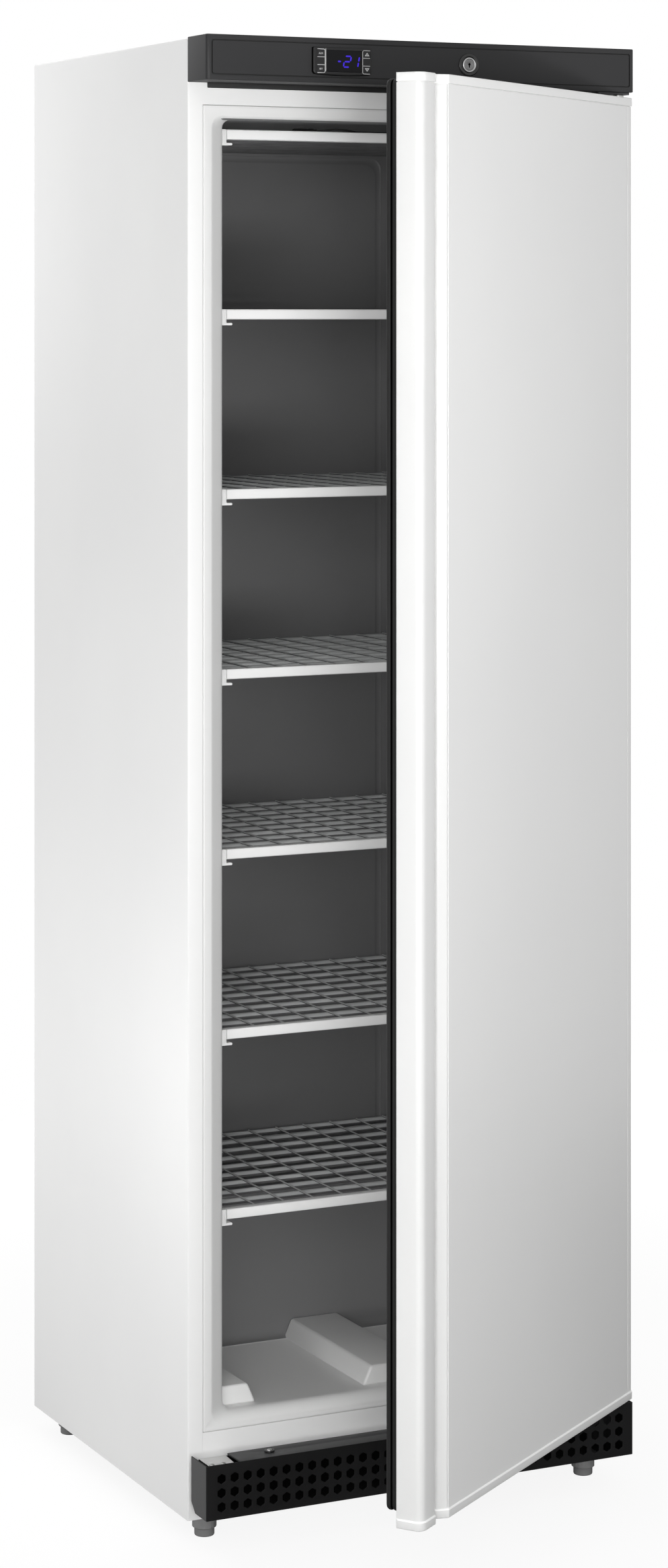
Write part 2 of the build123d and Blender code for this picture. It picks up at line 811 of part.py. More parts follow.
with BuildPart() as door_inner_liner:
    with BuildSketch(door_face.offset(door_liner - door_back)):
        with Locations(((panel_hinge_end + handle_back) / 2, door_middle)):
            Rectangle(panel_hinge_end - handle_back, door_height)
    extrude(amount=-door_liner)
    add(bulge_form)
    add(bulge_hollow, mode=Mode.SUBTRACT)
door_inner_liner.part.label = "door_inner_liner"
export_step(door_inner_liner.part, "parts/door_inner_liner.step")

# Foam inside the door
with BuildPart() as door_foam:
    with BuildSketch(door.offset(door_low)):
        with BuildLine():
            Polyline(
                (panel_hinge_end, door_front + door_sheet),
                (door_panel_end, door_front + door_sheet),
                (door_panel_end, door_back - profile_wall),
                (handle_back, door_back - profile_wall),
                (handle_back, door_back - door_liner),
                (panel_hinge_end, door_back - door_liner),
                close=True,
            )
        make_face()
    extrude(amount=door_height)
    add(bulge_hollow)
door_foam.part.label = "door_foam"
export_step(door_foam.part, "parts/door_foam.step")

# Trims that cap the door, with the bushes of the hinge and the keeper of the lock
cap_ends = {"door_bottom_trim": door_bottom, "door_top_trim": door_high}
keeper_drop = lock_z - door_top
cam_swing = sqrt(cam_tip**2 - keeper_drop**2)
keeper_left = lock_x - pin_x - cam_swing - keeper_gap
keeper_right = lock_x - pin_x + cam_width / 2 + keeper_gap
keeper_floor = lock_z - cam_tip - keeper_gap
keeper_y = -cam_reach_back - cam_thickness / 2 - pin_y
keeper_size = (keeper_right - keeper_left + 2 * keeper_wall, keeper_width)
keeper_place = ((keeper_left + keeper_right) / 2, keeper_y)
for cap_name, cap_bottom in cap_ends.items():
    with BuildPart() as cap:
        with BuildSketch(door.offset(cap_bottom)):
            with BuildLine():
                handle_outline()
                Polyline(
                    (handle_edge, door_back),
                    (door_hinge_edge, door_back),
                    (door_hinge_edge, door_front),
                    (door_panel_end, door_front),
                )
            make_face()
            offset(amount=cap_overhang, kind=Kind.INTERSECTION)
            with Locations((0, door_back)):
                Rectangle(3 * cabinet_width, cap_height, align=(Align.CENTER, Align.MIN), mode=Mode.SUBTRACT)
            Circle(bush_radius, mode=Mode.SUBTRACT)
        extrude(amount=cap_height)
        if cap_name == "door_top_trim":
            with BuildSketch(door.offset(door_top)):
                with Locations(keeper_place):
                    Rectangle(*keeper_size)
            extrude(amount=keeper_floor - keeper_wall - door_top, mode=Mode.SUBTRACT)
    cap.part.label = cap_name
    export_step(cap.part, f"parts/{cap_name}.step")

with BuildPart() as hinge_bushes:
    for cap_bottom in cap_ends.values():
        with BuildSketch(door.offset(cap_bottom)):
            Circle(bush_radius)
            Circle(pin_radius + pin_gap, mode=Mode.SUBTRACT)
        extrude(amount=cap_height)
hinge_bushes.part.label = "hinge_bushes"
export_step(hinge_bushes.part, "parts/hinge_bushes.step")

with BuildPart() as lock_keeper:
    with BuildSketch(door.offset(door_top)):
        with Locations(keeper_place):
            Rectangle(*keeper_size)
    extrude(amount=keeper_floor - keeper_wall - door_top)
    with BuildSketch(door.offset(door_top)):
        with Locations(keeper_place):
            Rectangle(keeper_right - keeper_left, keeper_width - 2 * keeper_wall)
    extrude(amount=keeper_floor - door_top, mode=Mode.SUBTRACT)
lock_keeper.part.label = "lock_keeper"
export_step(lock_keeper.part, "parts/lock_keeper.step")

# Gasket round the back of the door
gasket_left = handle_edge + gasket_inset
gasket_right = door_hinge_edge - gasket_inset
gasket_low = door_bottom + gasket_low_inset
gasket_high = door_top - gasket_high_inset
gasket_depth = -pin_y - gasket_front_gap - door_back
with BuildPart() as door_gasket:
    with BuildSketch(door_face.offset(-door_back)):
        with Locations(((gasket_left + gasket_right) / 2, (gasket_low + gasket_high) / 2)):
            RectangleRounded(gasket_right - gasket_left, gasket_high - gasket_low, gasket_corner)
            Rectangle(
                gasket_right - gasket_left - 2 * gasket_width,
                gasket_high - gasket_low - 2 * gasket_width,
                mode=Mode.SUBTRACT,
            )
    extrude(amount=-gasket_depth)
door_gasket.part.label = "door_gasket"
export_step(door_gasket.part, "parts/door_gasket.step")

# Hinge brackets: a level plate that holds the pin and a flange on the cabinet's front
plate_front = -pin_y + hinge_plate_front
plate_right = half_width - fascia_wall
plate_middle = (hinge_plate_left + plate_right) / 2
lower_plate_bottom = lower_plate_top - hinge_plate
with BuildPart() as upper_hinge_bracket:
    with BuildSketch(cabinet.offset(fascia_bottom - hinge_plate)):
        with Locations((plate_middle, 0)):
            Rectangle(plate_right - hinge_plate_left, plate_front, align=(Align.CENTER, Align.MAX))
        fillet(vertices().group_by(Axis.Y)[0], radius=hinge_plate_front / 2)
        with Locations((pin_x, pin_y)):
            Circle(pin_radius, mode=Mode.SUBTRACT)
    extrude(amount=hinge_plate)
    with BuildSketch(cabinet.offset(fascia_bottom)):
        with Locations((plate_middle, 0)):
            Rectangle(plate_right - hinge_plate_left, hinge_plate, align=(Align.CENTER, Align.MAX))
    extrude(amount=hinge_flange_height)
upper_hinge_bracket.part.label = "upper_hinge_bracket"
export_step(upper_hinge_bracket.part, "parts/upper_hinge_bracket.step")

with BuildPart() as lower_hinge_bracket:
    with BuildSketch(cabinet.offset(lower_plate_bottom)):
        with Locations((plate_middle, 0)):
            Rectangle(plate_right - hinge_plate_left, plate_front, align=(Align.CENTER, Align.MAX))
        fillet(vertices().group_by(Axis.Y)[0], radius=hinge_plate_front / 2)
        with Locations((pin_x, pin_y)):
            Circle(pin_radius, mode=Mode.SUBTRACT)
    extrude(amount=hinge_plate)
    with BuildSketch(cabinet.offset(lower_plate_bottom)):
        with Locations((plate_middle, 0)):
            Rectangle(plate_right - hinge_plate_left, hinge_plate, align=(Align.CENTER, Align.MAX))
    extrude(amount=-hinge_flange_height)
lower_hinge_bracket.part.label = "lower_hinge_bracket"
export_step(lower_hinge_bracket.part, "parts/lower_hinge_bracket.step")

with BuildPart() as hinge_pins:
    with BuildSketch(cabinet.offset(fascia_bottom)):
        with Locations((pin_x, pin_y)):
            Circle(pin_radius)
    extrude(amount=door_top - pin_reach - fascia_bottom)
    with BuildSketch(cabinet.offset(lower_plate_bottom)):
        with Locations((pin_x, pin_y)):
            Circle(pin_radius)
    extrude(amount=door_bottom + pin_reach - lower_plate_bottom)
    with BuildSketch(cabinet.offset(lower_plate_top)):
        with Locations((pin_x, pin_y)):
            Circle(collar_radius)
    extrude(amount=door_bottom - collar_gap - lower_plate_top)
hinge_pins.part.label = "hinge_pins"
export_step(hinge_pins.part, "parts/hinge_pins.step")

with BuildPart() as spare_hinge_plate:
    with BuildSketch(cabinet.offset(lower_plate_bottom)):
        with Locations((spare_left, 0)):
            Rectangle(spare_width, spare_depth, align=(Align.MIN, Align.MAX))
        for screw_x in spare_screw_x:
            with Locations((screw_x, -spare_screw_back)):
                Circle(screw_radius + screw_gap, mode=Mode.SUBTRACT)
    extrude(amount=hinge_plate)
    with BuildSketch(cabinet.offset(lower_plate_bottom)):
        with Locations((spare_left, 0)):
            Rectangle(spare_width, hinge_plate, align=(Align.MIN, Align.MAX))
    extrude(amount=-hinge_flange_height)
spare_hinge_plate.part.label = "spare_hinge_plate"
export_step(spare_hinge_plate.part, "parts/spare_hinge_plate.step")

# Grille with rows of six-sided holes and a return at each side
with BuildPart() as front_grille:
    with BuildSketch(front.offset(grille_reach - grille_sheet)):
        with Locations((0, (grille_top + grille_bottom) / 2)):
            Rectangle(2 * grille_half, grille_top - grille_bottom)
        with Locations((0, hex_top_row - (hex_rows - 1) * hex_row_pitch / 2)):
            with GridLocations(hex_pitch, hex_row_pitch, hex_columns, hex_rows):
                RegularPolygon(
                    hex_across / 2, 6, major_radius=False, rotation=30, mode=Mode.SUBTRACT
                )
    extrude(amount=grille_sheet)
    for across in (-1, 1):
        with BuildSketch(side.offset(across * (grille_half - grille_sheet / 2))):
            with BuildLine():
                Polyline(
                    (grille_sheet / 2 - grille_reach, grille_bottom),
                    (grille_sheet / 2 - grille_reach, grille_top),
                    (-grille_side_back, grille_top),
                    (-grille_side_back, grille_bottom + grille_side_cut),
                    (-grille_side_back - grille_side_cut, grille_bottom),
                    close=True,
                )
            make_face()
        extrude(amount=grille_sheet / 2, both=True)
front_grille.part.label = "front_grille"
export_step(front_grille.part, "parts/front_grille.step")

cover_screws = [(-cover_screw_x, -cover_screw_back), (cover_screw_x, -cover_screw_back)]
with BuildPart() as grille_cover:
    with BuildSketch(cabinet.offset(cover_top - cover_sheet)):
        Rectangle(2 * cover_half, grille_reach - grille_sheet, align=(Align.CENTER, Align.MAX))
        with Locations(*cover_screws):
            Circle(screw_radius + screw_gap, mode=Mode.SUBTRACT)
    extrude(amount=cover_sheet)
grille_cover.part.label = "grille_cover"
export_step(grille_cover.part, "parts/grille_cover.step")

# Screws of the cover and of the spare plate, with cup washers under the cover's screws
cover_head = cover_top + washer_height - screw_head / 2
screw_places = [(place, cover_head) for place in cover_screws]
screw_places += [((screw_x, -spare_screw_back), lower_plate_top) for screw_x in spare_screw_x]
with BuildPart() as body_screws:
    with BuildSketch(cabinet.offset(cover_top)):
        with Locations(*cover_screws):
            Circle(washer_radius)
            Circle(screw_radius + screw_gap, mode=Mode.SUBTRACT)
    extrude(amount=washer_height)
    with BuildSketch(cabinet.offset(cover_head)):
        with Locations(*cover_screws):
            Circle(screw_head_radius + screw_gap)
    extrude(amount=washer_height, mode=Mode.SUBTRACT)
    for place, head_bottom in screw_places:
        with BuildSketch(cabinet.offset(head_bottom)):
            with Locations(place):
                Circle(screw_head_radius)
        extrude(amount=screw_head)
        with BuildSketch(cabinet.offset(head_bottom)):
            with Locations(place):
                Circle(screw_radius)
        extrude(amount=-screw_length)
body_screws.part.label = "body_screws"
export_step(body_screws.part, "parts/body_screws.step")

# One refrigerated shelf at height zero: frame, winding tube and wires, then a copy at each height
tube_line = -trim_height / 2
wire_low = tube_line + shelf_tube - wire_weld
wire_top = wire_low + wire_size
frame_half = space_half - liner_wall / 2


def winding(runs, pitch, half, start, first):
    """Edges of a winding tube: level runs joined by half turns, first being -1 or 1 for its side."""
    for run in range(runs):
        across = first if run % 2 == 0 else -first
        line = start + run * pitch
        Line((across * half, line), (-across * half, line))
        if run < runs - 1:
            turn = (-across * (half + pitch / 2), line + pitch / 2)
            ThreePointArc((-across * half, line), turn, (-across * half, line + pitch))


with BuildPart() as shelf_form:
    with BuildSketch(cabinet.offset(-rail_bottom)):
        for across in (-1, 1):
            with Locations((across * (frame_half - rail_width / 2), rail_near)):
                Rectangle(rail_width, rail_far - rail_near, align=(Align.CENTER, Align.MIN))
    extrude(amount=rail_bottom - rail_top)
    with BuildSketch(cabinet.offset(tube_line - shelf_tube)):
        for line in (rail_near, rail_far - bar_width):
            with Locations((0, line)):
                Rectangle(2 * frame_half, bar_width, align=(Align.CENTER, Align.MIN))
    extrude(amount=2 * shelf_tube - wire_weld)
    with BuildLine(cabinet.offset(tube_line)) as shelf_route:
        winding(shelf_runs, shelf_run_pitch, shelf_run_half, first_run, -1)
    with BuildSketch(Plane(origin=shelf_route.line @ 0, z_dir=shelf_route.line % 0)):
        Circle(shelf_tube)
    sweep(path=shelf_route.line)
    with BuildSketch(cabinet.offset(wire_low)):
        with Locations((0, (first_run + last_run) / 2)):
            with GridLocations(shelf_wire_pitch, 1, shelf_wires, 1):
                Rectangle(wire_size, last_run - first_run)
    extrude(amount=wire_size)

for number, shelf_top in enumerate(shelf_tops, start=1):
    shelf = Pos(0, 0, shelf_top) * shelf_form.part
    shelf.label = f"shelf_{number}"
    export_step(shelf, f"parts/shelf_{number}.step")

# White trims along the fronts of the shelves, and the clips at their ends
with BuildPart() as shelf_front_trims:
    with BuildSketch(side):
        for shelf_top in shelf_tops:
            with Locations((shelf_front, shelf_top)):
                Rectangle(trim_depth, trim_height, align=(Align.MIN, Align.MAX))
            with Locations((shelf_front + trim_wall, shelf_top - trim_wall)):
                Rectangle(
                    trim_depth - trim_wall,
                    trim_height - 2 * trim_wall,
                    align=(Align.MIN, Align.MAX),
                    mode=Mode.SUBTRACT,
                )
    extrude(amount=trim_half, both=True)
shelf_front_trims.part.label = "shelf_front_trims"
export_step(shelf_front_trims.part, "parts/shelf_front_trims.step")

with BuildPart() as shelf_clips:
    for shelf_top in shelf_tops:
        for across in (-1, 1):
            with BuildSketch(cabinet.offset(shelf_top - clip_height)):
                with Locations((across * (space_half + trim_half) / 2, shelf_front)):
                    Rectangle(space_half - trim_half, clip_depth, align=(Align.CENTER, Align.MIN))
            extrude(amount=clip_height)
            with BuildSketch(cabinet.offset(shelf_top - clip_height)):
                with Locations((across * (space_half + trim_half - clip_tab) / 2, shelf_front)):
                    Rectangle(
                        space_half - trim_half + clip_tab, clip_depth, align=(Align.CENTER, Align.MIN)
                    )
            extrude(amount=clip_foot)
shelf_clips.part.label = "shelf_clips"
export_step(shelf_clips.part, "parts/shelf_clips.step")

# Tube that rises past the back of the shelves from the step in the liner
with BuildPart() as riser_tube:
    with BuildSketch(cabinet.offset(step_top)):
        with Locations((-shelf_run_half - shelf_tube, last_run)):
            Circle(shelf_tube)
    extrude(amount=top_shelf + tube_line + shelf_tube - step_top)
riser_tube.part.label = "riser_tube"
export_step(riser_tube.part, "parts/riser_tube.step")


def bend_radii(points):
    """Arc radius at each corner of a route: 0.45 of the shorter run over the tangent of half the turn."""
    radii = []
    for before, corner, after in zip(points, points[1:], points[2:]):
        run_in = Vector(*corner) - Vector(*before)
        run_out = Vector(*after) - Vector(*corner)
        turn = radians(run_in.get_angle(run_out))
        radii.append(0.45 * min(run_in.length, run_out.length) / tan(turn / 2))
    return radii


# Temperature probe lying on the top shelf, its lead, and the grommet where the lead meets the wall
rest_line = top_shelf + wire_top
lead_line = rest_line + lead_radius + lead_rise
probe_line = rest_line + probe_radius + lead_rise
lead_points = [
    (-92.0, 76.0, probe_line),
    (-80.0, 72.0, probe_line),
    (-67.0, 67.0, lead_line + lead_hump),
    (-53.0, 63.0, lead_line + 0.7 * lead_hump),
    (-37.0, 61.5, lead_line + 0.1),
    (-12.0, 64.0, lead_line + 0.4),
    (18.0, 62.5, lead_line),
    (55.0, 67.0, lead_line + 0.3),
    (95.0, 74.0, lead_line),
    (136.0, 77.0, lead_line + 0.3),
    (176.0, 84.0, lead_line),
    (212.0, 90.0, lead_line + 1.6),
    (space_half - grommet_length, 90.0, lead_line + 1.6),
]
lead_radii = bend_radii(lead_points)
print("probe lead radii", [round(radius) for radius in lead_radii])
with BuildPart() as probe_lead:
    with BuildLine(cabinet) as lead_route:
        FilletPolyline(*lead_points, radius=lead_radii)
    with BuildSketch(Plane(origin=lead_route.line @ 0, z_dir=lead_route.line % 0)):
        Circle(lead_radius)
    sweep(path=lead_route.line)
probe_lead.part.label = "probe_lead"
export_step(probe_lead.part, "parts/probe_lead.step")
lead_length = lead_route.wires()[0].length
lead_ratio = probe_lead.part.volume / (lead_length * pi * lead_radius**2)
print("probe lead", round(lead_length, 1), "mm, volume over section times length", round(lead_ratio, 4))

with BuildPart() as temperature_probe:
    with BuildSketch(Plane(origin=lead_route.line @ 0, z_dir=lead_route.line % 0)):
        Circle(probe_radius)
    extrude(amount=-probe_length)
    fillet(temperature_probe.faces().sort_by(Axis.X)[0].edges(), radius=probe_radius * 0.8)
    with BuildSketch(Plane(origin=lead_route.line @ 1, z_dir=(1, 0, 0))):
        Circle(grommet_radius)
    extrude(amount=grommet_length)
temperature_probe.part.label = "temperature_probe"
export_step(temperature_probe.part, "parts/temperature_probe.step")

# Compressor: a foot plate and two domes joined by a weld belt, on four rubber mounts
mount_places = [
    (compressor_x + across * compressor_foot_x, compressor_y + along * compressor_foot_y)
    for across in (-1, 1)
    for along in (-1, 1)
]
foot_plate_bottom = compressor_plate + mount_height
compressor_bottom = foot_plate_bottom + compressor_foot_sheet
compressor_top = compressor_bottom + compressor_height
with BuildPart() as compressor:
    with BuildSketch(cabinet.offset(foot_plate_bottom)):
        with Locations((compressor_x, compressor_y)):
            Rectangle(2 * (compressor_foot_x + mount_radius), 2 * (compressor_foot_y + mount_radius))
            fillet(vertices(), radius=mount_radius)
    extrude(amount=compressor_foot_sheet)
    with BuildSketch(cabinet.offset(compressor_bottom - compressor_foot_sheet / 2)):
        with Locations((compressor_x, compressor_y)):
            Circle(compressor_radius)
    extrude(amount=compressor_height + compressor_foot_sheet / 2)
    fillet(compressor.edges().group_by(Axis.Z)[-1], radius=compressor_radius * 0.6)
    with BuildSketch(cabinet.offset(compressor_bottom + compressor_belt)):
        with Locations((compressor_x, compressor_y)):
            Circle(compressor_radius + compressor_foot_sheet)
    extrude(amount=2 * compressor_foot_sheet)
compressor.part.label = "compressor"
export_step(compressor.part, "parts/compressor.step")

with BuildPart() as compressor_mounts:
    with BuildSketch(cabinet.offset(compressor_plate)):
        with Locations(*mount_places):
            Circle(mount_radius)
    extrude(amount=mount_height)
compressor_mounts.part.label = "compressor_mounts"
export_step(compressor_mounts.part, "parts/compressor_mounts.step")

with BuildPart() as relay_cover:
    with BuildSketch(cabinet.offset(compressor_bottom + relay_lift)):
        with Locations((compressor_x, compressor_y)):
            Rectangle(compressor_radius + relay_depth, relay_width, align=(Align.MAX, Align.CENTER))
    extrude(amount=relay_height)
    fillet(relay_cover.edges().filter_by(Axis.Z).sort_by(Axis.X)[:2], radius=4)
    with BuildSketch(cabinet.offset(compressor_bottom)):
        with Locations((compressor_x, compressor_y)):
            Circle(compressor_radius + relay_gap)
    extrude(amount=compressor_height, mode=Mode.SUBTRACT)
    with BuildSketch(cabinet.offset(compressor_bottom + compressor_belt - relay_gap)):
        with Locations((compressor_x, compressor_y)):
            Circle(compressor_radius + compressor_foot_sheet + relay_gap)
    extrude(amount=2 * compressor_foot_sheet + 2 * relay_gap, mode=Mode.SUBTRACT)
relay_cover.part.label = "relay_cover"
export_step(relay_cover.part, "parts/relay_cover.step")

# Evaporation tray on top of the compressor
with BuildPart() as evaporation_tray:
    with BuildSketch(cabinet.offset(compressor_top)):
        with Locations((compressor_x, compressor_y)):
            Rectangle(tray_width, tray_depth)
            fillet(vertices(), radius=mount_radius)
    extrude(amount=tray_height)
    offset(amount=-tray_wall, openings=evaporation_tray.faces().sort_by(Axis.Z)[-1])
evaporation_tray.part.label = "evaporation_tray"
export_step(evaporation_tray.part, "parts/evaporation_tray.step")

# Condenser on the back: winding tube with upright wires, on four brackets
condenser_wire_back = rear_reach - condenser_wire
condenser_line = condenser_wire_back + condenser_weld - condenser_tube
with BuildPart() as rear_condenser:
    with BuildLine(front.offset(-condenser_line)) as condenser_route:
        winding(condenser_runs, condenser_run_pitch, condenser_half, condenser_bottom, 1)
    with BuildSketch(Plane(origin=condenser_route.line @ 0, z_dir=condenser_route.line % 0)):
        Circle(condenser_tube)
    sweep(path=condenser_route.line)
    with BuildSketch(cabinet.offset(condenser_bottom)):
        with Locations((0, condenser_wire_back)):
            with GridLocations(condenser_wire_pitch, 1, condenser_wires, 1):
                Rectangle(condenser_wire, condenser_wire, align=(Align.CENTER, Align.MIN))
    extrude(amount=condenser_top - condenser_bottom)
rear_condenser.part.label = "rear_condenser"
export_step(rear_condenser.part, "parts/rear_condenser.step")

bracket_reach = condenser_line - condenser_tube - shell_depth
bracket_runs = (2, condenser_runs - 3)
with BuildPart() as condenser_brackets:
    for run in bracket_runs:
        run_height = condenser_bottom + run * condenser_run_pitch
        with BuildSketch(cabinet.offset(run_height - condenser_bracket_height / 2)):
            for across in (-1, 1):
                with Locations((across * condenser_bracket_x, shell_depth)):
                    Rectangle(
                        condenser_bracket_width, condenser_bracket_sheet, align=(Align.CENTER, Align.MIN)
                    )
                    Rectangle(condenser_bracket_sheet, bracket_reach, align=(Align.CENTER, Align.MIN))
        extrude(amount=condenser_bracket_height)
condenser_brackets.part.label = "condenser_brackets"
export_step(condenser_brackets.part, "parts/condenser_brackets.step")

# Filter drier and the refrigerant lines
drier_top = drier_bottom + drier_length
with BuildPart() as filter_drier:
    with BuildSketch(cabinet.offset(drier_bottom)):
        with Locations((drier_x, drier_y)):
            Circle(drier_radius)
    extrude(amount=drier_length)
    fillet(filter_drier.edges().group_by(Axis.Z)[0], radius=drier_radius * 0.6)
    fillet(filter_drier.edges().group_by(Axis.Z)[-1], radius=drier_radius * 0.6)
filter_drier.part.label = "filter_drier"
export_step(filter_drier.part, "parts/filter_drier.step")

line_start = compressor_x + compressor_radius
niche_roof = niche_top - sheet
drier_turn = niche_front + line_clear
line_routes = [
    [
        (line_start, compressor_y, discharge_height),
        (discharge_x, compressor_y, discharge_height),
        (discharge_x, condenser_line, discharge_height),
        (discharge_x, condenser_line, condenser_bottom),
        (condenser_half, condenser_line, condenser_bottom),
    ],
    [
        (line_start, compressor_y, suction_height),
        (suction_x, compressor_y, suction_height),
        (suction_x, compressor_y, niche_roof),
    ],
    [
        (-condenser_half, condenser_line, condenser_top),
        (drier_x, condenser_line, condenser_top),
        (drier_x, condenser_line, drier_top + line_clear),
        (drier_x, drier_y, drier_top + line_clear),
        (drier_x, drier_y, drier_top),
    ],
    [
        (drier_x, drier_y, drier_bottom),
        (drier_x, drier_y, drier_bottom - line_clear),
        (drier_x, drier_turn, drier_bottom - line_clear),
        (drier_x, drier_turn, niche_roof),
    ],
]
with BuildPart() as refrigerant_lines:
    for route in line_routes:
        with BuildLine(cabinet) as line_route:
            FilletPolyline(*route, radius=line_bend)
        with BuildSketch(Plane(origin=line_route.line @ 0, z_dir=line_route.line % 0)):
            Circle(line_radius)
        sweep(path=line_route.line)
refrigerant_lines.part.label = "refrigerant_lines"
export_step(refrigerant_lines.part, "parts/refrigerant_lines.step")

# Gland for the mains cable
with BuildPart() as cable_gland:
    with BuildSketch(front.offset(sheet - shell_depth)):
        with Locations((gland_x, gland_z)):
            Circle(gland_flange_radius)
    extrude(amount=-gland_flange)
    with BuildSketch(front.offset(sheet - shell_depth)):
        with Locations((gland_x, gland_z)):
            Circle(gland_radius)
    extrude(amount=gland_length - gland_flange)
    with BuildSketch(front.offset(sheet - shell_depth - gland_flange)):
        with Locations((gland_x, gland_z)):
            Circle(gland_bore)
    extrude(amount=gland_length, mode=Mode.SUBTRACT)
cable_gland.part.label = "cable_gland"
export_step(cable_gland.part, "parts/cable_gland.step")
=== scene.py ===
import math
import bpy
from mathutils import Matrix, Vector


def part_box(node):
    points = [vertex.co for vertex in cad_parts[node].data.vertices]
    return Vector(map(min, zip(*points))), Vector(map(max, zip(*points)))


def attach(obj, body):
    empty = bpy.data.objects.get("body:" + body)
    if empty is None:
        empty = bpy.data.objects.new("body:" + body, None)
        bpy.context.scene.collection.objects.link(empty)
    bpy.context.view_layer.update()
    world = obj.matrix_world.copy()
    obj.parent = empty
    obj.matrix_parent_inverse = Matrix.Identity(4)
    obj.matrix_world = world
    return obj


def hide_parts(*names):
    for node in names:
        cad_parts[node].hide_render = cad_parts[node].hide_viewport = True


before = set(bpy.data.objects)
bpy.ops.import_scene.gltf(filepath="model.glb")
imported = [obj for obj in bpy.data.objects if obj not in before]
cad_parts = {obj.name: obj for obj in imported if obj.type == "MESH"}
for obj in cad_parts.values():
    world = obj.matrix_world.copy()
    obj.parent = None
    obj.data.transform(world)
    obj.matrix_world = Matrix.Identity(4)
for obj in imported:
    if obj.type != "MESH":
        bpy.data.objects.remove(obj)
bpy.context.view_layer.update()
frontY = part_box("outer_shell")[0].y * 1000  # the cabinet's front plane, y 0 of every size below
print("frame loaded,", len(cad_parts), "CAD nodes")

# sizes shared by several pieces, in millimetres as in the CAD
shared = {
    "doorOpen": math.radians(35.6),
    "pin": (285.0, -43.5),
    "shelfTops": [1739.8 - 224.5 * number for number in range(7)],
}


def at(x, y, z):
    # a point of the cabinet, from millimetres to the frame's metres
    return Vector((x, frontY + y, z)) / 1000


def onDoor(x, y, z):
    # a point of the shut door, counted from the hinge pin, turned to where the door stands open
    cosine, sine = math.cos(shared["doorOpen"]), math.sin(shared["doorOpen"])
    return at(shared["pin"][0] + x * cosine - y * sine, shared["pin"][1] + x * sine + y * cosine, z)


def doorDepth(point):
    # how far a point lies behind the hinge pin, in the direction of the open door's thickness
    cosine, sine = math.cos(shared["doorOpen"]), math.sin(shared["doorOpen"])
    return (point.y * 1000 - frontY - shared["pin"][1]) * cosine - (point.x * 1000 - shared["pin"][0]) * sine


# modelling helpers
def clearSelection():
    if bpy.context.object and bpy.context.object.mode != "OBJECT":
        bpy.ops.object.mode_set(mode="OBJECT")
    bpy.ops.object.select_all(action="DESELECT")


def makeActive(piece):
    clearSelection()
    piece.select_set(True)
    bpy.context.view_layer.objects.active = piece


def pick(piece, kind, test):
    # leaves the piece in edit mode with only the faces or edges that pass the test selected
    makeActive(piece)
    bpy.ops.object.mode_set(mode="EDIT")
    bpy.ops.mesh.select_mode(type=kind)
    bpy.ops.mesh.select_all(action="DESELECT")
    bpy.ops.object.mode_set(mode="OBJECT")
    mesh = piece.data
    for part in mesh.polygons if kind == "FACE" else mesh.edges:
        ends = (part.center, part.normal) if kind == "FACE" else [mesh.vertices[index].co for index in part.vertices]
        part.select = bool(test(*ends))
    bpy.ops.object.mode_set(mode="EDIT")


def addBlock(name, low, high):
    clearSelection()
    bpy.ops.mesh.primitive_cube_add(size=1, location=(low + high) / 2)
    piece = bpy.context.object
    piece.name = name
    piece.scale = high - low
    bpy.ops.object.transform_apply(location=True, rotation=True, scale=True)
    return piece


def addLoft(name, loops, caps=True):
    # a ring of vertices, extruded from loop to loop; every loop has the same number of points
    clearSelection()
    bpy.ops.mesh.primitive_circle_add(vertices=len(loops[0]), radius=0.1, fill_type="NOTHING")
    piece = bpy.context.object
    piece.name = name
    mesh = piece.data
    for vertex, point in zip(mesh.vertices, loops[0]):
        vertex.co = point
    bpy.ops.object.mode_set(mode="EDIT")
    bpy.ops.mesh.select_all(action="SELECT")
    if caps:
        bpy.ops.mesh.edge_face_add()
        bpy.ops.mesh.select_all(action="SELECT")
    before = 0
    for following in loops[1:]:
        bpy.ops.mesh.select_mode(type="EDGE")
        bpy.ops.mesh.extrude_edges_move()
        bpy.ops.object.mode_set(mode="OBJECT")
        count = len(following)
        old = mesh.vertices[before : before + count]
        new = mesh.vertices[len(mesh.vertices) - count : len(mesh.vertices)]
        places = {tuple(vertex.co): index for index, vertex in enumerate(old)}
        targets = [places[tuple(vertex.co)] for vertex in new]
        for vertex, target in zip(new, targets):
            vertex.co = following[target]
        before = len(mesh.vertices) - count
        bpy.ops.object.mode_set(mode="EDIT")
    if caps:
        bpy.ops.mesh.edge_face_add()
    bpy.ops.mesh.select_all(action="SELECT")
    bpy.ops.mesh.normals_make_consistent(inside=False)
    bpy.ops.object.mode_set(mode="OBJECT")
    return piece


def roundedOutline(corners, steps=4):
    # (x, y, radius) corners to the points of an outline with its corners rounded
    points = []
    for index, (x, y, radius) in enumerate(corners):
        corner = Vector((x, y))
        before = Vector(corners[index - 1][:2]) - corner
        after = Vector(corners[(index + 1) % len(corners)][:2]) - corner
        if radius <= 0:
            points.append((x, y))
            continue
        before.normalize()
        after.normalize()
        half = before.angle(after) / 2
        centre = corner + (before + after).normalized() * radius / math.sin(half)
        reach = radius / math.tan(half)
        start, end = corner + before * reach - centre, corner + after * reach - centre
        sweep = start.angle_signed(end)
        for step in range(steps + 1):
            angle = -sweep * step / steps
            cosine, sine = math.cos(angle), math.sin(angle)
            points.append((centre.x + start.x * cosine - start.y * sine, centre.y + start.x * sine + start.y * cosine))
    return points


def roundedBox(left, right, low, high, radii, steps):
    # a box's outline from its lower left corner, up and round; radii is one number, or one for each corner
    corners = [(left, low), (left, high), (right, high), (right, low)]
    radii = radii if isinstance(radii, tuple) else (radii,) * 4
    return roundedOutline([(*corner, radius) for corner, radius in zip(corners, radii)], steps)


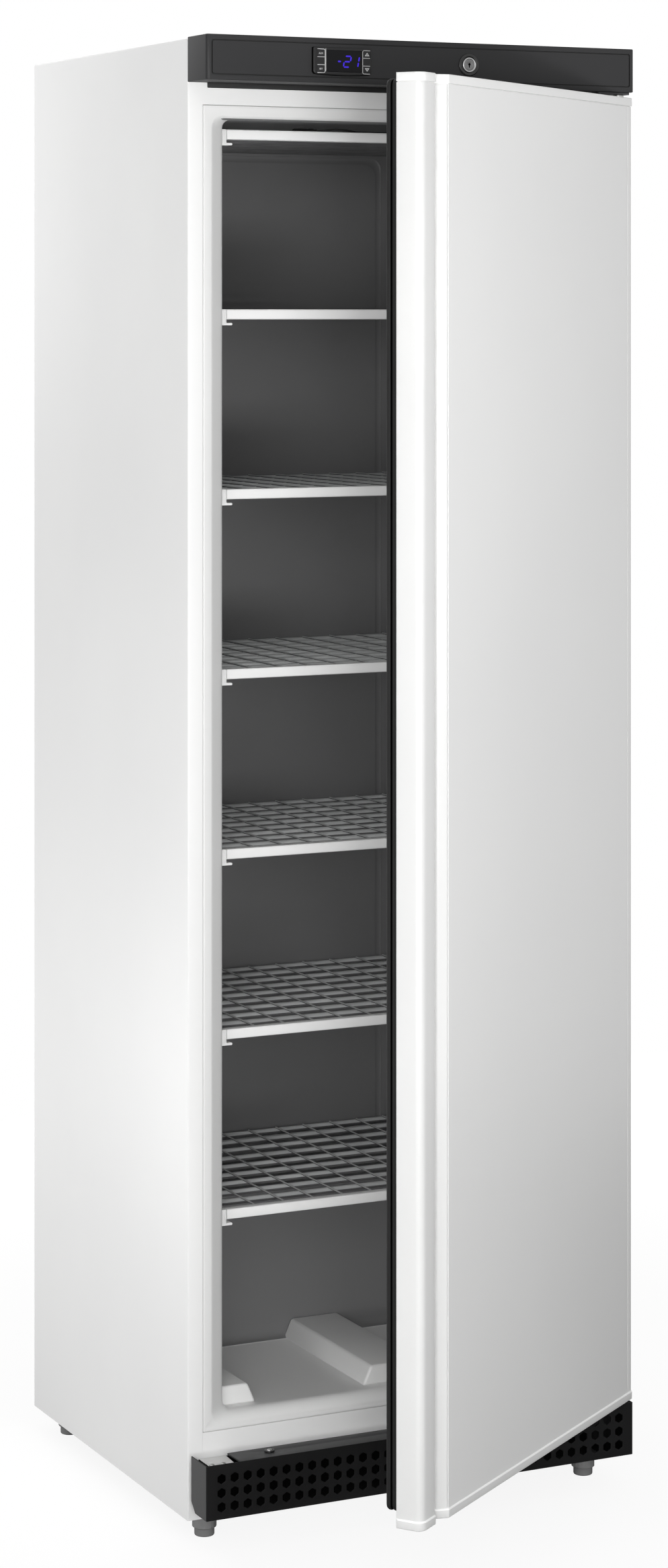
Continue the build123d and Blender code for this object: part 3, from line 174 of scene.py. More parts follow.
def addProfile(name, outline, place, start, end):
    # an outline extruded from start to end; place turns (u, v, along) into a point
    return addLoft(name, [[place(u, v, along) for u, v in outline] for along in (start, end)])


def alongX(u, v, along):
    return at(along, u, v)


def alongZ(u, v, along):
    return at(u, v, along)


def alongY(u, v, along):
    return at(u, along, v)


def applyModifier(piece, kind, **settings):
    makeActive(piece)
    modifier = piece.modifiers.new(kind.title(), kind)
    for name, value in settings.items():
        setattr(modifier, name, value)
    bpy.ops.object.modifier_apply(modifier=modifier.name)
    return piece


def softenEdges(piece, width, segments=2, angle=30):
    # a bevel on the sharp edges, applied, and smooth shading across the soft ones
    limit = {"limit_method": "ANGLE", "angle_limit": math.radians(angle), "harden_normals": False}
    return smooth(applyModifier(piece, "BEVEL", width=width / 1000, segments=segments, **limit))


def smooth(piece, angle=35):
    makeActive(piece)
    bpy.ops.object.shade_smooth_by_angle(angle=math.radians(angle))
    return piece


def joinPieces(name, pieces):
    clearSelection()
    for piece in pieces:
        piece.select_set(True)
    bpy.context.view_layer.objects.active = pieces[0]
    if len(pieces) > 1:
        bpy.ops.object.join()
    joined = bpy.context.object
    joined.name = name
    joined.data.name = name
    return joined


def closeMesh(piece):
    makeActive(piece)
    bpy.ops.object.mode_set(mode="EDIT")
    bpy.ops.mesh.select_all(action="SELECT")
    bpy.ops.mesh.remove_doubles(threshold=0.00001)
    bpy.ops.mesh.normals_make_consistent(inside=False)
    bpy.ops.object.mode_set(mode="OBJECT")
    return piece


def paint(piece, *names):
    # the finishes of a piece, or of a part that is later joined into one
    piece.data.materials.clear()
    for name in names:
        piece.data.materials.append(finishes[name])
    return piece


def paintFaces(piece, choose):
    # the number of each face's finish; true stands for the second one
    for face in piece.data.polygons:
        face.material_index = int(choose(face))


def dress(piece, names, node=None, body="root"):
    # the finish or finishes, the node it stands for and the body it rides on
    if names:
        paint(piece, *([names] if isinstance(names, str) else names))
    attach(piece, body)
    if node:
        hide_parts(node)
    return piece


def addCurve(name, kind, points, radius, roundness):
    # a round curve along points
    clearSelection()
    bpy.ops.curve.primitive_bezier_curve_add(location=(0, 0, 0))
    line = bpy.context.object
    line.name = name
    line.data.splines.clear()
    spline = line.data.splines.new(kind)
    spline.points.add(len(points) - 1)
    for target, point in zip(spline.points, points):
        target.co = (*point, 1)
    line.data.dimensions = "3D"
    line.data.bevel_depth = radius / 1000
    line.data.bevel_resolution = roundness
    line.data.use_fill_caps = True
    return line


def tubeAlong(name, points, radius, sides=8):
    # a round tube that follows points, made a mesh
    makeActive(addCurve(name, "POLY", points, radius, (sides - 4) // 2))
    bpy.ops.object.convert(target="MESH")
    return smooth(closeMesh(bpy.context.object), 50)


def cutWith(piece, cutter):
    applyModifier(piece, "BOOLEAN", operation="DIFFERENCE", solver="EXACT", object=cutter)
    clearSelection()
    bpy.data.objects.remove(cutter)
    return piece


def cutBlock(piece, name, low, high, place=at):
    # cuts a block between two places in millimetres
    return cutWith(piece, addBlock(name, place(*low), place(*high)))


def addRod(name, centre, radius, low, high, place=alongZ, sides=32):
    # a round rod between two heights, or two depths with another place
    return addTurned(name, centre, [(radius, low), (radius, high)], place, sides)


def addTurned(name, centre, profile, place=alongZ, sides=32):
    # a turned part: (radius, height) steps round one axis
    turns = [(math.cos(2 * math.pi * k / sides), math.sin(2 * math.pi * k / sides)) for k in range(sides)]
    loops = []
    for radius, along in profile:
        loops.append([place(centre[0] + radius * u, centre[1] + radius * v, along) for u, v in turns])
    return smooth(addLoft(name, loops), 40)


def copyPiece(piece, name, move=(0, 0, 0)):
    # a copy with its own mesh, moved by millimetres in its mesh
    makeActive(piece)
    bpy.ops.object.duplicate()
    double = bpy.context.object
    double.name = name
    double.data.name = name
    bpy.ops.object.mode_set(mode="EDIT")
    bpy.ops.mesh.select_all(action="SELECT")
    bpy.ops.transform.translate(value=Vector(move) / 1000)
    bpy.ops.object.mode_set(mode="OBJECT")
    return double


# finishes
def addNode(tree, kind, inputs=None, **settings):
    # a shader node; an input is a value, an output that feeds it, or a node whose first output does
    node = tree.nodes.new(f"ShaderNode{kind}")
    for name, value in settings.items():
        setattr(node, name, value)
    feedNode(tree, node, inputs or {})
    return node


def feedNode(tree, node, inputs):
    for name, value in inputs.items():
        if isinstance(value, bpy.types.Node):
            value = value.outputs[0]
        if isinstance(value, bpy.types.NodeSocket):
            tree.links.new(value, node.inputs[name])
        else:
            node.inputs[name].default_value = value


def makeFinish(name, colour, patches, roughness, grain, bump, others=()):
    # colour that drifts a little, roughness from a noise, and a fine bump; all in Object coordinates
    look = {"patch": 6.0, "detail": 3.0, "bumpDepth": 0.0002, "metallic": 0.0, "coat": 0.0, "specular": 0.5, "glow": 0}
    look.update(others)
    material = bpy.data.materials.new(name)
    material.use_nodes = True
    tree = material.node_tree
    shader = tree.nodes["Principled BSDF"]
    place = addNode(tree, "TexCoord").outputs["Object"]
    drift = addNode(tree, "TexNoise", {"Scale": look["patch"], "Detail": look["detail"], "Vector": place})
    ramp = addNode(tree, "ValToRGB", {"Fac": drift})
    for stop, position, shade in zip(ramp.color_ramp.elements, (0.35, 0.65), (patches, colour)):
        stop.position = position
        stop.color = (*shade, 1)
    fine = addNode(tree, "TexNoise", {"Scale": grain, "Detail": 2.0, "Vector": place})
    feedNode(tree, shader, {
        "Base Color": ramp,
        "Roughness": addNode(tree, "MapRange", {"To Min": roughness[0], "To Max": roughness[1], "Value": fine}),
        "Normal": addNode(tree, "Bump", {"Strength": bump, "Distance": look["bumpDepth"], "Height": fine}),
        "Metallic": look["metallic"],
        "Coat Weight": look["coat"],
        "Coat Roughness": 0.1,
        "Specular IOR Level": look["specular"],
    })
    if look["glow"]:
        feedNode(tree, shader, {"Emission Color": (*colour, 1), "Emission Strength": look["glow"]})
    return material


finishTable = {
    # name, colour, colour of its patches, roughness, scale of the grain, bump and what else differs
    "cabinet": ("whitePowderPaint", (0.84, 0.84, 0.835), (0.815, 0.815, 0.812), (0.36, 0.46), 900, 0.06, {"patch": 3}),
    "door": ("whiteDoorPaint", (0.80, 0.80, 0.795), (0.78, 0.78, 0.777), (0.3, 0.4), 1100, 0.04, {"patch": 2.5}),
    "handle": ("whiteHandlePlastic", (0.765, 0.765, 0.76), (0.745, 0.745, 0.74), (0.34, 0.44), 1500, 0.03),
    "trim": ("whiteTrimPlastic", (0.84, 0.84, 0.835), (0.82, 0.82, 0.815), (0.4, 0.5), 1500, 0.05),
    "shelfTrim": ("whiteShelfPlastic", (0.90, 0.90, 0.895), (0.88, 0.88, 0.875), (0.35, 0.45), 1200, 0.04),
    "shelf": ("whiteCoatedWire", (0.56, 0.57, 0.57), (0.49, 0.50, 0.50), (0.35, 0.5), 700, 0.08, {"patch": 20}),
    "galvanised": (
        "galvanisedSheet", (0.52, 0.53, 0.54), (0.38, 0.39, 0.40), (0.35, 0.55), 300, 0.05,
        {"patch": 60, "detail": 6, "metallic": 0.9},
    ),
    "foam": ("paleGreyFoam", (0.42, 0.42, 0.41), (0.36, 0.36, 0.35), (0.8, 0.95), 500, 0.6, {"bumpDepth": 0.001}),
    "fascia": (
        "blackFasciaPlastic", (0.026, 0.026, 0.027), (0.0235, 0.0235, 0.0245), (0.42, 0.55), 1300, 0.12,
        {"specular": 0.24},
    ),
    "grille": (
        "blackGrillePlastic", (0.0085, 0.0085, 0.0088), (0.007, 0.007, 0.0072), (0.5, 0.62), 1300, 0.12,
        {"specular": 0.12},
    ),
    "cover": ("darkCoverSteel", (0.042, 0.043, 0.044), (0.036, 0.037, 0.038), (0.4, 0.5), 900, 0.1, {"specular": 0.3}),
    "control": (
        "blackControlPlastic", (0.021, 0.021, 0.0215), (0.019, 0.019, 0.0195), (0.3, 0.4), 1600, 0.06,
        {"specular": 0.22},
    ),
    "lens": (
        "darkSmokedWindow", (0.007, 0.007, 0.008), (0.006, 0.006, 0.007), (0.18, 0.24), 2000, 0.0, {"specular": 0.12},
    ),
    "metal": (
        "satinLockSteel", (0.48, 0.48, 0.48), (0.42, 0.42, 0.42), (0.28, 0.4), 2500, 0.1,
        {"patch": 40, "metallic": 1.0},
    ),
    "steel": (
        "zincPlatedSteel", (0.60, 0.60, 0.59), (0.48, 0.48, 0.47), (0.3, 0.45), 1200, 0.08,
        {"patch": 50, "metallic": 1.0},
    ),
    "hingeDark": ("darkHingeSteel", (0.03, 0.03, 0.032), (0.024, 0.024, 0.026), (0.4, 0.55), 900, 0.1),
    "plate": ("paleHingePlate", (0.78, 0.78, 0.77), (0.70, 0.70, 0.69), (0.3, 0.45), 900, 0.08, {"metallic": 0.2}),
    "gasket": (
        "softBlackGasket", (0.014, 0.014, 0.014), (0.011, 0.011, 0.011), (0.55, 0.7), 1100, 0.15, {"specular": 0.2},
    ),
    "rubber": ("blackRubber", (0.015, 0.015, 0.015), (0.010, 0.010, 0.010), (0.6, 0.75), 900, 0.2),
    "foot": (
        "greyFootPlastic", (0.21, 0.21, 0.21), (0.17, 0.17, 0.17), (0.5, 0.65), 900, 0.15,
        {"specular": 0.3, "patch": 30},
    ),
    "compressor": (
        "blackCompressorPaint", (0.014, 0.014, 0.015), (0.010, 0.010, 0.011), (0.3, 0.42), 700, 0.15, {"coat": 0.2},
    ),
    "copper": (
        "dullCopper", (0.60, 0.28, 0.16), (0.42, 0.18, 0.10), (0.28, 0.45), 900, 0.05, {"patch": 40, "metallic": 1.0},
    ),
    "condenser": ("blackCondenserPaint", (0.016, 0.016, 0.017), (0.011, 0.011, 0.012), (0.4, 0.55), 900, 0.12),
    "tray": ("greyTrayPlastic", (0.35, 0.36, 0.36), (0.30, 0.31, 0.31), (0.45, 0.6), 900, 0.1),
    "bush": ("whiteNylon", (0.78, 0.78, 0.76), (0.74, 0.74, 0.72), (0.4, 0.5), 900, 0.05),
    "probe": ("blackProbeCable", (0.02, 0.02, 0.02), (0.015, 0.015, 0.015), (0.5, 0.6), 900, 0.1),
    "liner": ("whiteLinerPlastic", (0.78, 0.78, 0.775), (0.765, 0.765, 0.76), (0.36, 0.46), 900, 0.05, {"patch": 4}),
    # painted shade: darker grey for the liner's back wall, step and ceiling
    "linerDark": (
        "greyLinerPlastic", (0.19, 0.19, 0.192), (0.165, 0.165, 0.167), (0.42, 0.52), 900, 0.05, {"patch": 3},
    ),
    "doorLining": ("whiteDoorLining", (0.78, 0.78, 0.775), (0.765, 0.765, 0.76), (0.36, 0.46), 900, 0.05, {"patch": 4}),
    # a shaded copy of the trim's white, and a painted highlight for the lower trim's upward faces
    "trimLow": ("whiteTrimPlasticShaded", (0.77, 0.77, 0.765), (0.75, 0.75, 0.745), (0.4, 0.5), 1500, 0.05),
    "rim": ("whiteTrimPlasticRim", (0.97, 0.97, 0.965), (0.95, 0.95, 0.945), (0.4, 0.5), 1500, 0.05),
    "digits": ("violetDigits", (0.024, 0.003, 0.42), (0.021, 0.003, 0.38), (0.3, 0.4), 2000, 0.0, {"glow": 0.8}),
    # pale print, also the painted highlight on the window's frame
    "mark": ("paleGreyPrint", (0.55, 0.55, 0.55), (0.50, 0.50, 0.50), (0.4, 0.5), 2000, 0.02),
    "key": ("blackKeyRubber", (0.020, 0.020, 0.021), (0.017, 0.017, 0.018), (0.5, 0.6), 1500, 0.1, {"specular": 0.25}),
    "lockBezel": ("blackLockPlastic", (0.008, 0.008, 0.008), (0.006, 0.006, 0.006), (0.2, 0.3), 1500, 0.05),
    "lockFace": (
        "brushedLockFace", (0.22, 0.22, 0.22), (0.15, 0.15, 0.15), (0.35, 0.5), 2500, 0.3,
        {"patch": 900, "metallic": 0.8},
    ),
    # black of the strip under the fascia, also painted shade in the fascia's groove
    "strip": ("blackSealStrip", (0.006, 0.006, 0.006), (0.005, 0.005, 0.005), (0.6, 0.7), 1300, 0.1),
    # painted sheen: lighter black for the grille's sides
    "grilleSide": (
        "blackGrilleReturn", (0.065, 0.065, 0.066), (0.058, 0.058, 0.059), (0.5, 0.62), 1300, 0.12, {"specular": 0.3},
    ),
    # painted shade: black for the base behind the grille
    "base": (
        "blackBasePaint", (0.010, 0.010, 0.0102), (0.007, 0.007, 0.0072), (0.5, 0.65), 700, 0.15,
        {"specular": 0.15, "patch": 14},
    ),
    # painted shade: darker black for the fascia's ends
    "fasciaSideShade": (
        "blackFasciaReturn", (0.019, 0.019, 0.020), (0.017, 0.017, 0.018), (0.5, 0.62), 1300, 0.12, {"specular": 0.18},
    ),
    # painted shade: darker grey for the shelves' faces that look down
    "shelfUnder": (
        "greyShelfUnderside", (0.15, 0.15, 0.152), (0.12, 0.12, 0.122), (0.45, 0.6), 700, 0.08,
        {"specular": 0.2, "patch": 20},
    ),
    # painted shade: near-black for recesses, hidden sides and places that lie in shade
    "shade": (
        "darkUnderPaint", (0.003, 0.003, 0.003), (0.002, 0.002, 0.002), (0.5, 0.6), 900, 0.05, {"specular": 0.03},
    ),
}
finishes = {key: makeFinish(*row) for key, row in finishTable.items()}
print("finishes made,", len(finishes))


# the door: one outline for its three profiles and for the trims at their ends
door = {
    "hingeEdge": 6.3, "front": -15.4, "back": 21.7, "panelEnd": -515.7, "panelStart": -5.7, "low": 124.0,
    "high": 1776.0, "sheet": 1.0, "handleBack": -500.7,
}
doorCorners = [
    (door["hingeEdge"], door["back"], 0.6),
    (door["hingeEdge"], door["front"], 1.2),
    (door["panelEnd"], door["front"], 0.9),
    (-525.7, -5.4, 6.0), (-525.7, 4.6, 2.5), (-537.7, 4.6, 2.5), (-543.3, -11.9, 2.2), (-576.0, -11.9, 9.7),
    (-576.0, door["back"], 1.0),
]


def offsetCorners(corners, amount, back):
    # the outline pushed out by amount, its back edge kept flat; it runs clockwise, seen from above
    pushed = []
    for index, (x, y, radius) in enumerate(corners):
        corner = Vector((x, y))
        before = (corner - Vector(corners[index - 1][:2])).normalized()
        after = (Vector(corners[(index + 1) % len(corners)][:2]) - corner).normalized()
        out = -(Vector((before.y, -before.x)) + Vector((after.y, -after.x))).normalized()
        scale = 1 / max(0.3, math.cos(before.angle(after) / 2))
        place = corner + out * amount * scale
        change = amount if before.cross(after) < 0 else -amount
        pushed.append((place.x, min(place.y, back), max(0.3, radius + change)))
    return pushed


# three profiles of the door's height: the folded sheet, the handle with its groove and lobe, and the hinge edge
foldDepth, groundDepth, sheetEdge = door["front"] + door["sheet"], door["back"] - 2, door["panelStart"] + 0.3
doorProfiles = {
    "doorSkin": ("door_outer_panel", "door", "door_white", 4, 35, [
        (door["panelStart"] + 0.8, foldDepth, 0), (door["panelStart"], door["front"], 0.3),
        (door["panelEnd"], door["front"], 0.3), (door["panelEnd"] - 0.8, foldDepth, 0),
    ]),
    "doorHandle": ("handle_profile", "handle", "handle_white", 6, 25, doorCorners[2:] + [
        (door["handleBack"], door["back"], 0.3), (door["handleBack"], groundDepth, 0.3),
        (door["panelEnd"], groundDepth, 0.3),
    ]),
    "doorHingeEdge": ("hinge_edge_profile", "handle", "handle_white", 4, 35, doorCorners[:2] + [
        (sheetEdge, door["front"], 0.4), (sheetEdge, door["back"], 0.4),
    ]),
}
for name, (node, finish, slot, steps, angle, corners) in doorProfiles.items():
    piece = addProfile(name, roundedOutline(corners, steps), onDoor, door["low"], door["high"])
    dress(smooth(piece, angle), finish, node, "door")
print("door profile made")

# trims that cap the door: a rim at the seam, a lip over the profile and a softly rounded end
cap = {
    "overhang": 1.5, "round": 1.4, "draft": 0.25, "bush": 6.2, "keeper": (-248.66, -214.3, 3.45, 12.45),
    "keeperLow": 1778.5,
    # heights of the seam and the end, then the rim: distance from the seam and how far it stands out
    "doorTopTrim": ("door_top_trim", 1776.0, 1787.5, [(0, -1.1), (1.0, -1.1), (1.0, 1.2), (1.3, 1.5)]),
    "doorBottomTrim": ("door_bottom_trim", 124.0, 112.5, [(0, 0.1), (0.3, 0.1), (0.3, 0.5), (1.3, 1.3), (2.2, 1.5)]),
}
for name in ("doorTopTrim", "doorBottomTrim"):
    node, seam, end, rim = cap[name]
    way = 1 if end > seam else -1
    top, flat = end - way * cap["round"], cap["overhang"] - cap["draft"]
    steps = [(seam + way * height, out) for height, out in rim] + [(top, flat)]
    for turn in (22.5, 45.0, 67.5, 90.0):
        angle = math.radians(turn)
        steps.append((top + way * cap["round"] * math.sin(angle), flat - cap["round"] * (1 - math.cos(angle))))
    loops = []
    for height, out in steps:
        outline = roundedOutline(offsetCorners(doorCorners, out, door["back"]), 5)
        loops.append([onDoor(u, v, height) for u, v in outline])
    trim = smooth(addLoft(name, loops), 30)
    low, high = min(seam, end) - 5, max(seam, end) + 5
    cutWith(trim, addRod("bushHole", (0, 0), cap["bush"], low, high, onDoor))
    if way > 0:
        left, right, near, far = cap["keeper"]
        pocket = [(left, near), (right, near), (right, far), (left, far)]
        cutWith(trim, addProfile("keeperHole", pocket, onDoor, cap["keeperLow"], high))
        dress(trim, "trim", node, "door")
    else:
        # painted light: the lower trim takes a shaded copy of the trim's white, and a painted highlight on its faces
        # that look up
        dress(trim, ("trimLow", "rim"), node, "door")
        paintFaces(trim, lambda face: face.normal.z > 0.2)
print("door trims made")

# gasket: two soft bellows with a groove between them, swept round the back of the door
gasket = {
    "left": -561.0, "right": -8.7, "low": 124.0, "high": 1782.0, "corner": 9.0, "grooveNear": 12.7, "grooveFar": 15.5,
    # inset from the outer edge and depth behind the door, one turn of the section
    "section": [
        (2.5, 0), (1.6, 1.2), (1.2, 3.6), (1.2, 6.4), (0.4, 8.4), (0, 9.8), (0, 11.4), (0.6, 12.8), (2.2, 13.2),
        (5.6, 13.3), (5.6, 14.9), (2.2, 15.0), (0.6, 15.4), (0, 16.8), (0, 19.0), (1.0, 20.8), (2.6, 21.5),
        (12.8, 21.5), (14.6, 20.4), (15, 18),
        (15, 13.4), (13.6, 11.9), (12.0, 11.5), (12.0, 10.3), (13.8, 9.7), (15, 8), (15, 2.8), (13, 0),
    ],
}
loops = []
for inset, depth in gasket["section"] + gasket["section"][:1]:
    left, right = gasket["left"] + inset, gasket["right"] - inset
    low, high = gasket["low"] + inset, gasket["high"] - inset
    ring = roundedBox(left, right, low, high, max(gasket["corner"] - inset, 0.4), 6)
    loops.append([onDoor(x, door["back"] + depth, z) for x, z in ring])
doorSeal = smooth(closeMesh(addLoft("doorGasket", loops, caps=False)), 40)
dress(doorSeal, ("gasket", "shade"), "door_gasket", "door")


def isGroove(face):
    # painted shade: the walls of the groove are painted darker than the bellows
    depths = [doorDepth(doorSeal.data.vertices[index].co) - door["back"] for index in face.vertices]
    return gasket["grooveNear"] < min(depths) and max(depths) < gasket["grooveFar"]


paintFaces(doorSeal, isGroove)

# lining of the door: a formed sheet with a soft raised middle
lining = {
    "left": -500.7, "right": -5.7, "low": 124.0, "high": 1776.0, "raisedLeft": -490.0, "raisedRight": -80.0,
    "raised": 70,
    # depth behind the hinge pin and inset from the sheet's edge, for each step of the form
    "steps": [
        (20.2, 0), (21.2, 0), (21.7, 0.5), (21.7, 68.6), (22.0, 70.0), (23.0, 71.2), (36.6, 79.8),
        (38.6, 81.4), (39.5, 83.2), (39.7, 85.4), (39.7, 120.0), (38.9, 121.6), (38.9, 126.0), (39.7, 127.6),
    ],
}
loops = []
for depth, inset in lining["steps"]:
    further = inset - lining["raised"]
    if inset < 1:
        left, right, radius = lining["left"] + 0.15 * inset, lining["right"] - 1.06 * inset, 0.5
    else:
        left, right, radius = lining["raisedLeft"] + further, lining["raisedRight"] - further, max(24.0 - further, 8.0)
    ring = roundedBox(left, right, lining["low"] + inset, lining["high"] - inset, radius, 6)
    loops.append([onDoor(x, depth, z) for x, z in ring])
dress(smooth(addLoft("doorLining", loops), 30), "doorLining", "door_inner_liner", "door")
print("door back made")

# the cabinet's wrap: a folded sheet with a rail over the opening and a flange down each side
wrap = {
    "half": 300.0, "depth": 522.0, "low": 26.5, "high": 1848.0, "flange": 280.0, "rail": 1767.3, "fold": 2.2,
    "sheet": 1.0,
}
shell = addBlock("outerShell", at(-wrap["half"], 0, wrap["low"]), at(wrap["half"], wrap["depth"], wrap["high"]))
pick(shell, "FACE", lambda centre, normal: normal.y > 0.9 or normal.z < -0.9)
bpy.ops.mesh.delete(type="FACE")
for place, across in (
    (at(-wrap["flange"], 0, 0), (1, 0, 0)),
    (at(wrap["flange"], 0, 0), (1, 0, 0)),
    (at(0, 0, wrap["rail"]), (0, 0, 1)),
):
    pick(shell, "FACE", lambda centre, normal: normal.y < -0.9)
    bpy.ops.mesh.bisect(plane_co=place, plane_no=across)
opening = at(wrap["flange"], 0, wrap["rail"])
pick(shell, "FACE", lambda centre, normal: normal.y < -0.9 and abs(centre.x) < opening.x and centre.z < opening.z)
bpy.ops.mesh.delete(type="FACE")
wrapCorner = at(wrap["half"], 0, wrap["high"])


def isFold(first, second):
    # an edge that lies on two of the wrap's outer planes, above its foot
    places = [(abs(end.x), end.y, end.z) for end in (first, second)]
    planes = [all(abs(place[axis] - wrapCorner[axis]) < 1e-5 for place in places) for axis in range(3)]
    return sum(planes) >= 2 and (first.z + second.z) / 2 > 0.03


pick(shell, "EDGE", isFold)
bpy.ops.mesh.bevel(offset=wrap["fold"] / 1000, segments=4, profile=0.5, affect="EDGES")
bpy.ops.object.mode_set(mode="OBJECT")
applyModifier(closeMesh(shell), "SOLIDIFY", thickness=wrap["sheet"] / 1000, offset=-1.0, use_even_offset=True)
smooth(shell, 25)
dress(shell, "cabinet", "outer_shell")
print("cabinet wrap made")

# the liner: mouth, cavity, step over the compressor space and back wall, one vacuum-formed sheet
space = {
    "half": 244.0, "floor": 152.0, "ceiling": 1750.0, "step": 350.0, "stepFront": 270.0, "depth": 450.0,
    "ceilingRound": 8.0, "sillRound": 17.0, "backCorner": 50.0, "ceilingCorner": 20.0, "mouthCorner": 15.0,
    "innerCorner": 9.0, "flangeHigh": 1767.3, "flangeHalf": 280.0,
    # side of the mouth: depth and how far it still stands out from the wall
    "mouthSide": [(0, 25.0), (0.6, 24.3), (1.6, 22.4), (14.5, 5.2), (17.0, 2.6), (20.5, 0.8), (25.0, 0)],
}


def spaceLoop(half, low, high, corner, y):
    return [at(x, y, z) for x, z in roundedBox(-half, half, low, high, corner, 5)]


def flare(radius, y):
    # how far a rounded edge of this radius stands out from its wall at depth y
    return radius - math.sqrt(radius * radius - max(0.0, radius - y) ** 2)


def mouthSide(y):
    # the slanted side of the mouth, crisp at its outer edge
    steps = space["mouthSide"]
    for (startY, startOut), (endY, endOut) in zip(steps, steps[1:]):
        if y <= endY:
            return startOut + (endOut - startOut) * (y - startY) / (endY - startY)
    return 0.0


linerLoops = []
# outside, from the back to the flange
for half, low, high, y in (
    (194, 356, 1732, 451.9), (215, 352, 1741, 449), (232, 350, 1749, 438), (243, 348.5, 1751.9, 420),
    (245.9, 348.1, 1751.9, 400), (245.9, 348.1, 1751.9, 271.9), (245.9, 150.1, 1751.9, 271.9),
    (245.9, 150.1, 1751.9, 60), (245.9, 150.1, 1751.9, 30), (255, 149, 1752.2, 12), (268, 144, 1753.5, 4.5),
    (274, 134.5, 1761, 2.0),
):
    linerLoops.append(spaceLoop(half, low, high, 10.0, y))
# the flange, and a shallow bead over its lower edge
for inset, low, high, corner, y in (
    (0.6, 132.5, 0.4, 0.8, 2.0), (0.6, 132.5, 0.4, 0.8, 0.9), (0.9, 133.0, 0.7, 0.8, 0.25),
    (1.5, 133.7, 1.3, 0.9, 0.02), (4, 135.6, 4, 2.0, 0.05), (4, 136.6, 4, 2.0, 0.45), (4, 137.6, 4, 2.0, 0.6),
):
    linerLoops.append(spaceLoop(space["flangeHalf"] - inset, low, space["flangeHigh"] - high, corner, y))
# the mouth, rounded in at the sides, under the ceiling and over the sill
mouthDepth = space["mouthSide"][-1][0]
for y in (0.6, 1.0, 1.6, 2.4, 3.6, 5.0, 6.6, 8.0, 10.0, 12.0, 14.5, 17.0, 20.5, 25.0):
    low, high = space["floor"] - flare(space["sillRound"], y), space["ceiling"] + flare(space["ceilingRound"], y)
    corner = space["mouthCorner"] + (space["innerCorner"] - space["mouthCorner"]) * min(1.0, y / mouthDepth)
    linerLoops.append(spaceLoop(space["half"] + mouthSide(y), low, high, corner, y))
# straight walls, then the step
for low, y in (
    (152.0, 30.0), (152.0, 258.0), (152.9, 262.6), (155.5, 266.5), (159.4, 269.1), (164.0, 270.0),
    (340.0, 270.0), (343.8, 270.8), (347.1, 272.9), (349.2, 276.2), (350.0, 280.0), (350.0, 398.0),
):
    linerLoops.append(spaceLoop(space["half"], low, space["ceiling"], space["innerCorner"], y))
# the rounded back corners and the flat of the back wall
for y in (408.0, 416.0, 424.0, 431.0, 437.0, 442.0, 446.0, 448.6, 449.8):
    side, over = space["backCorner"], space["ceilingCorner"]
    half = space["half"] - side + math.sqrt(side**2 - (y - (space["depth"] - side)) ** 2)
    drop = over - math.sqrt(over**2 - max(0.0, y - (space["depth"] - over)) ** 2)
    linerLoops.append(spaceLoop(half, space["step"] + 0.4 * drop, space["ceiling"] - drop, 12.0, y))
# the pressed panel in the back wall
for half, inset, corner, y in (
    (191.5, 1.5, 14.0, 450.0), (190.0, 2.6, 16.0, 450.0), (189.0, 3.6, 17.0, 451.3), (188.2, 4.6, 17.0, 451.5),
    (184.0, 9.0, 18.0, 451.5), (182.0, 11.0, 18.0, 450.4), (180.0, 13.0, 18.0, 450.0), (100.0, 120.0, 40.0, 450.0),
):
    linerLoops.append(spaceLoop(half, 358.0 + inset, 1730.0 - inset, corner, y))
linerShell = addLoft("innerLiner", linerLoops)

# foam between the liner and the wrap, kept clear of the liner's mouth
foamLow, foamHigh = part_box("insulation_foam")
foamBlock = addBlock("insulationFoam", foamLow + Vector((0, 0.003, 0)), foamHigh)
for low, high in (
    ((-247.5, -5, 346.0), (247.5, 453.0, 1753.5)),
    ((-247.5, -5, 148.0), (247.5, 273.0, 350.0)),
    ((-275.0, -5, 132.0), (275.0, 16.0, 1763.0)),
    ((-310.0, 328.8, 0.0), (310.0, 530.0, 291.2)),
):
    cutBlock(foamBlock, "foamGap", low, high)
dress(foamBlock, "foam", "insulation_foam")

# the floor's three bearers and the ledge under each end of every shelf
ledge = {
    "ridge": 176.0, "bearerFront": 30.0, "under": 20.0, "inner": 236.0, "round": 8.0, "front": 40.0, "stepFront": 58.4,
    "back": 400.0,
}
wall, ground, ridge = space["half"] + 0.8, space["floor"] - 0.8, ledge["ridge"]
outlines = [
    [(-wall, ground), (-wall, ridge), (-205.0, ridge), (-194.0, ground)],
    [(wall, ground), (wall, ridge), (205.0, ridge), (194.0, ground)],
    [(45.0, ground), (34.0, ridge), (-34.0, ridge), (-45.0, ground)],
]
mouldings = []
for outline in outlines:
    block = addProfile("bearer", outline, alongY, ledge["bearerFront"], space["stepFront"] + 0.8)
    mouldings.append(softenEdges(block, 3.5, 4, 20))
for shelfTop in shared["shelfTops"]:
    under = shelfTop - ledge["under"]
    for side in (-1, 1):
        quarter = [(side * wall, under), (side * ledge["inner"], under)]
        for angle in (18, 36, 54, 72):
            turn = math.radians(angle)
            quarter.append(
                (side * (space["half"] - ledge["round"] * math.cos(turn)), under - ledge["round"] * math.sin(turn))
            )
        quarter += [(side * space["half"], under - ledge["round"]), (side * wall, under - ledge["round"])]
        mouldings.append(softenEdges(addProfile("ledge", quarter, alongY, ledge["front"], ledge["back"]), 0.8, 2, 50))
        inner, low, high = ledge["inner"], under - 0.5, under + 7.0
        outline = [(side * x, z) for x, z in ((wall, low), (wall, high), (inner + 0.4, high), (inner, low))]
        block = addProfile("ledgeStep", outline, alongY, ledge["stepFront"], ledge["back"])
        mouldings.append(softenEdges(block, 0.8, 2, 50))
liner = smooth(joinPieces("innerLiner", [linerShell] + mouldings), 32)
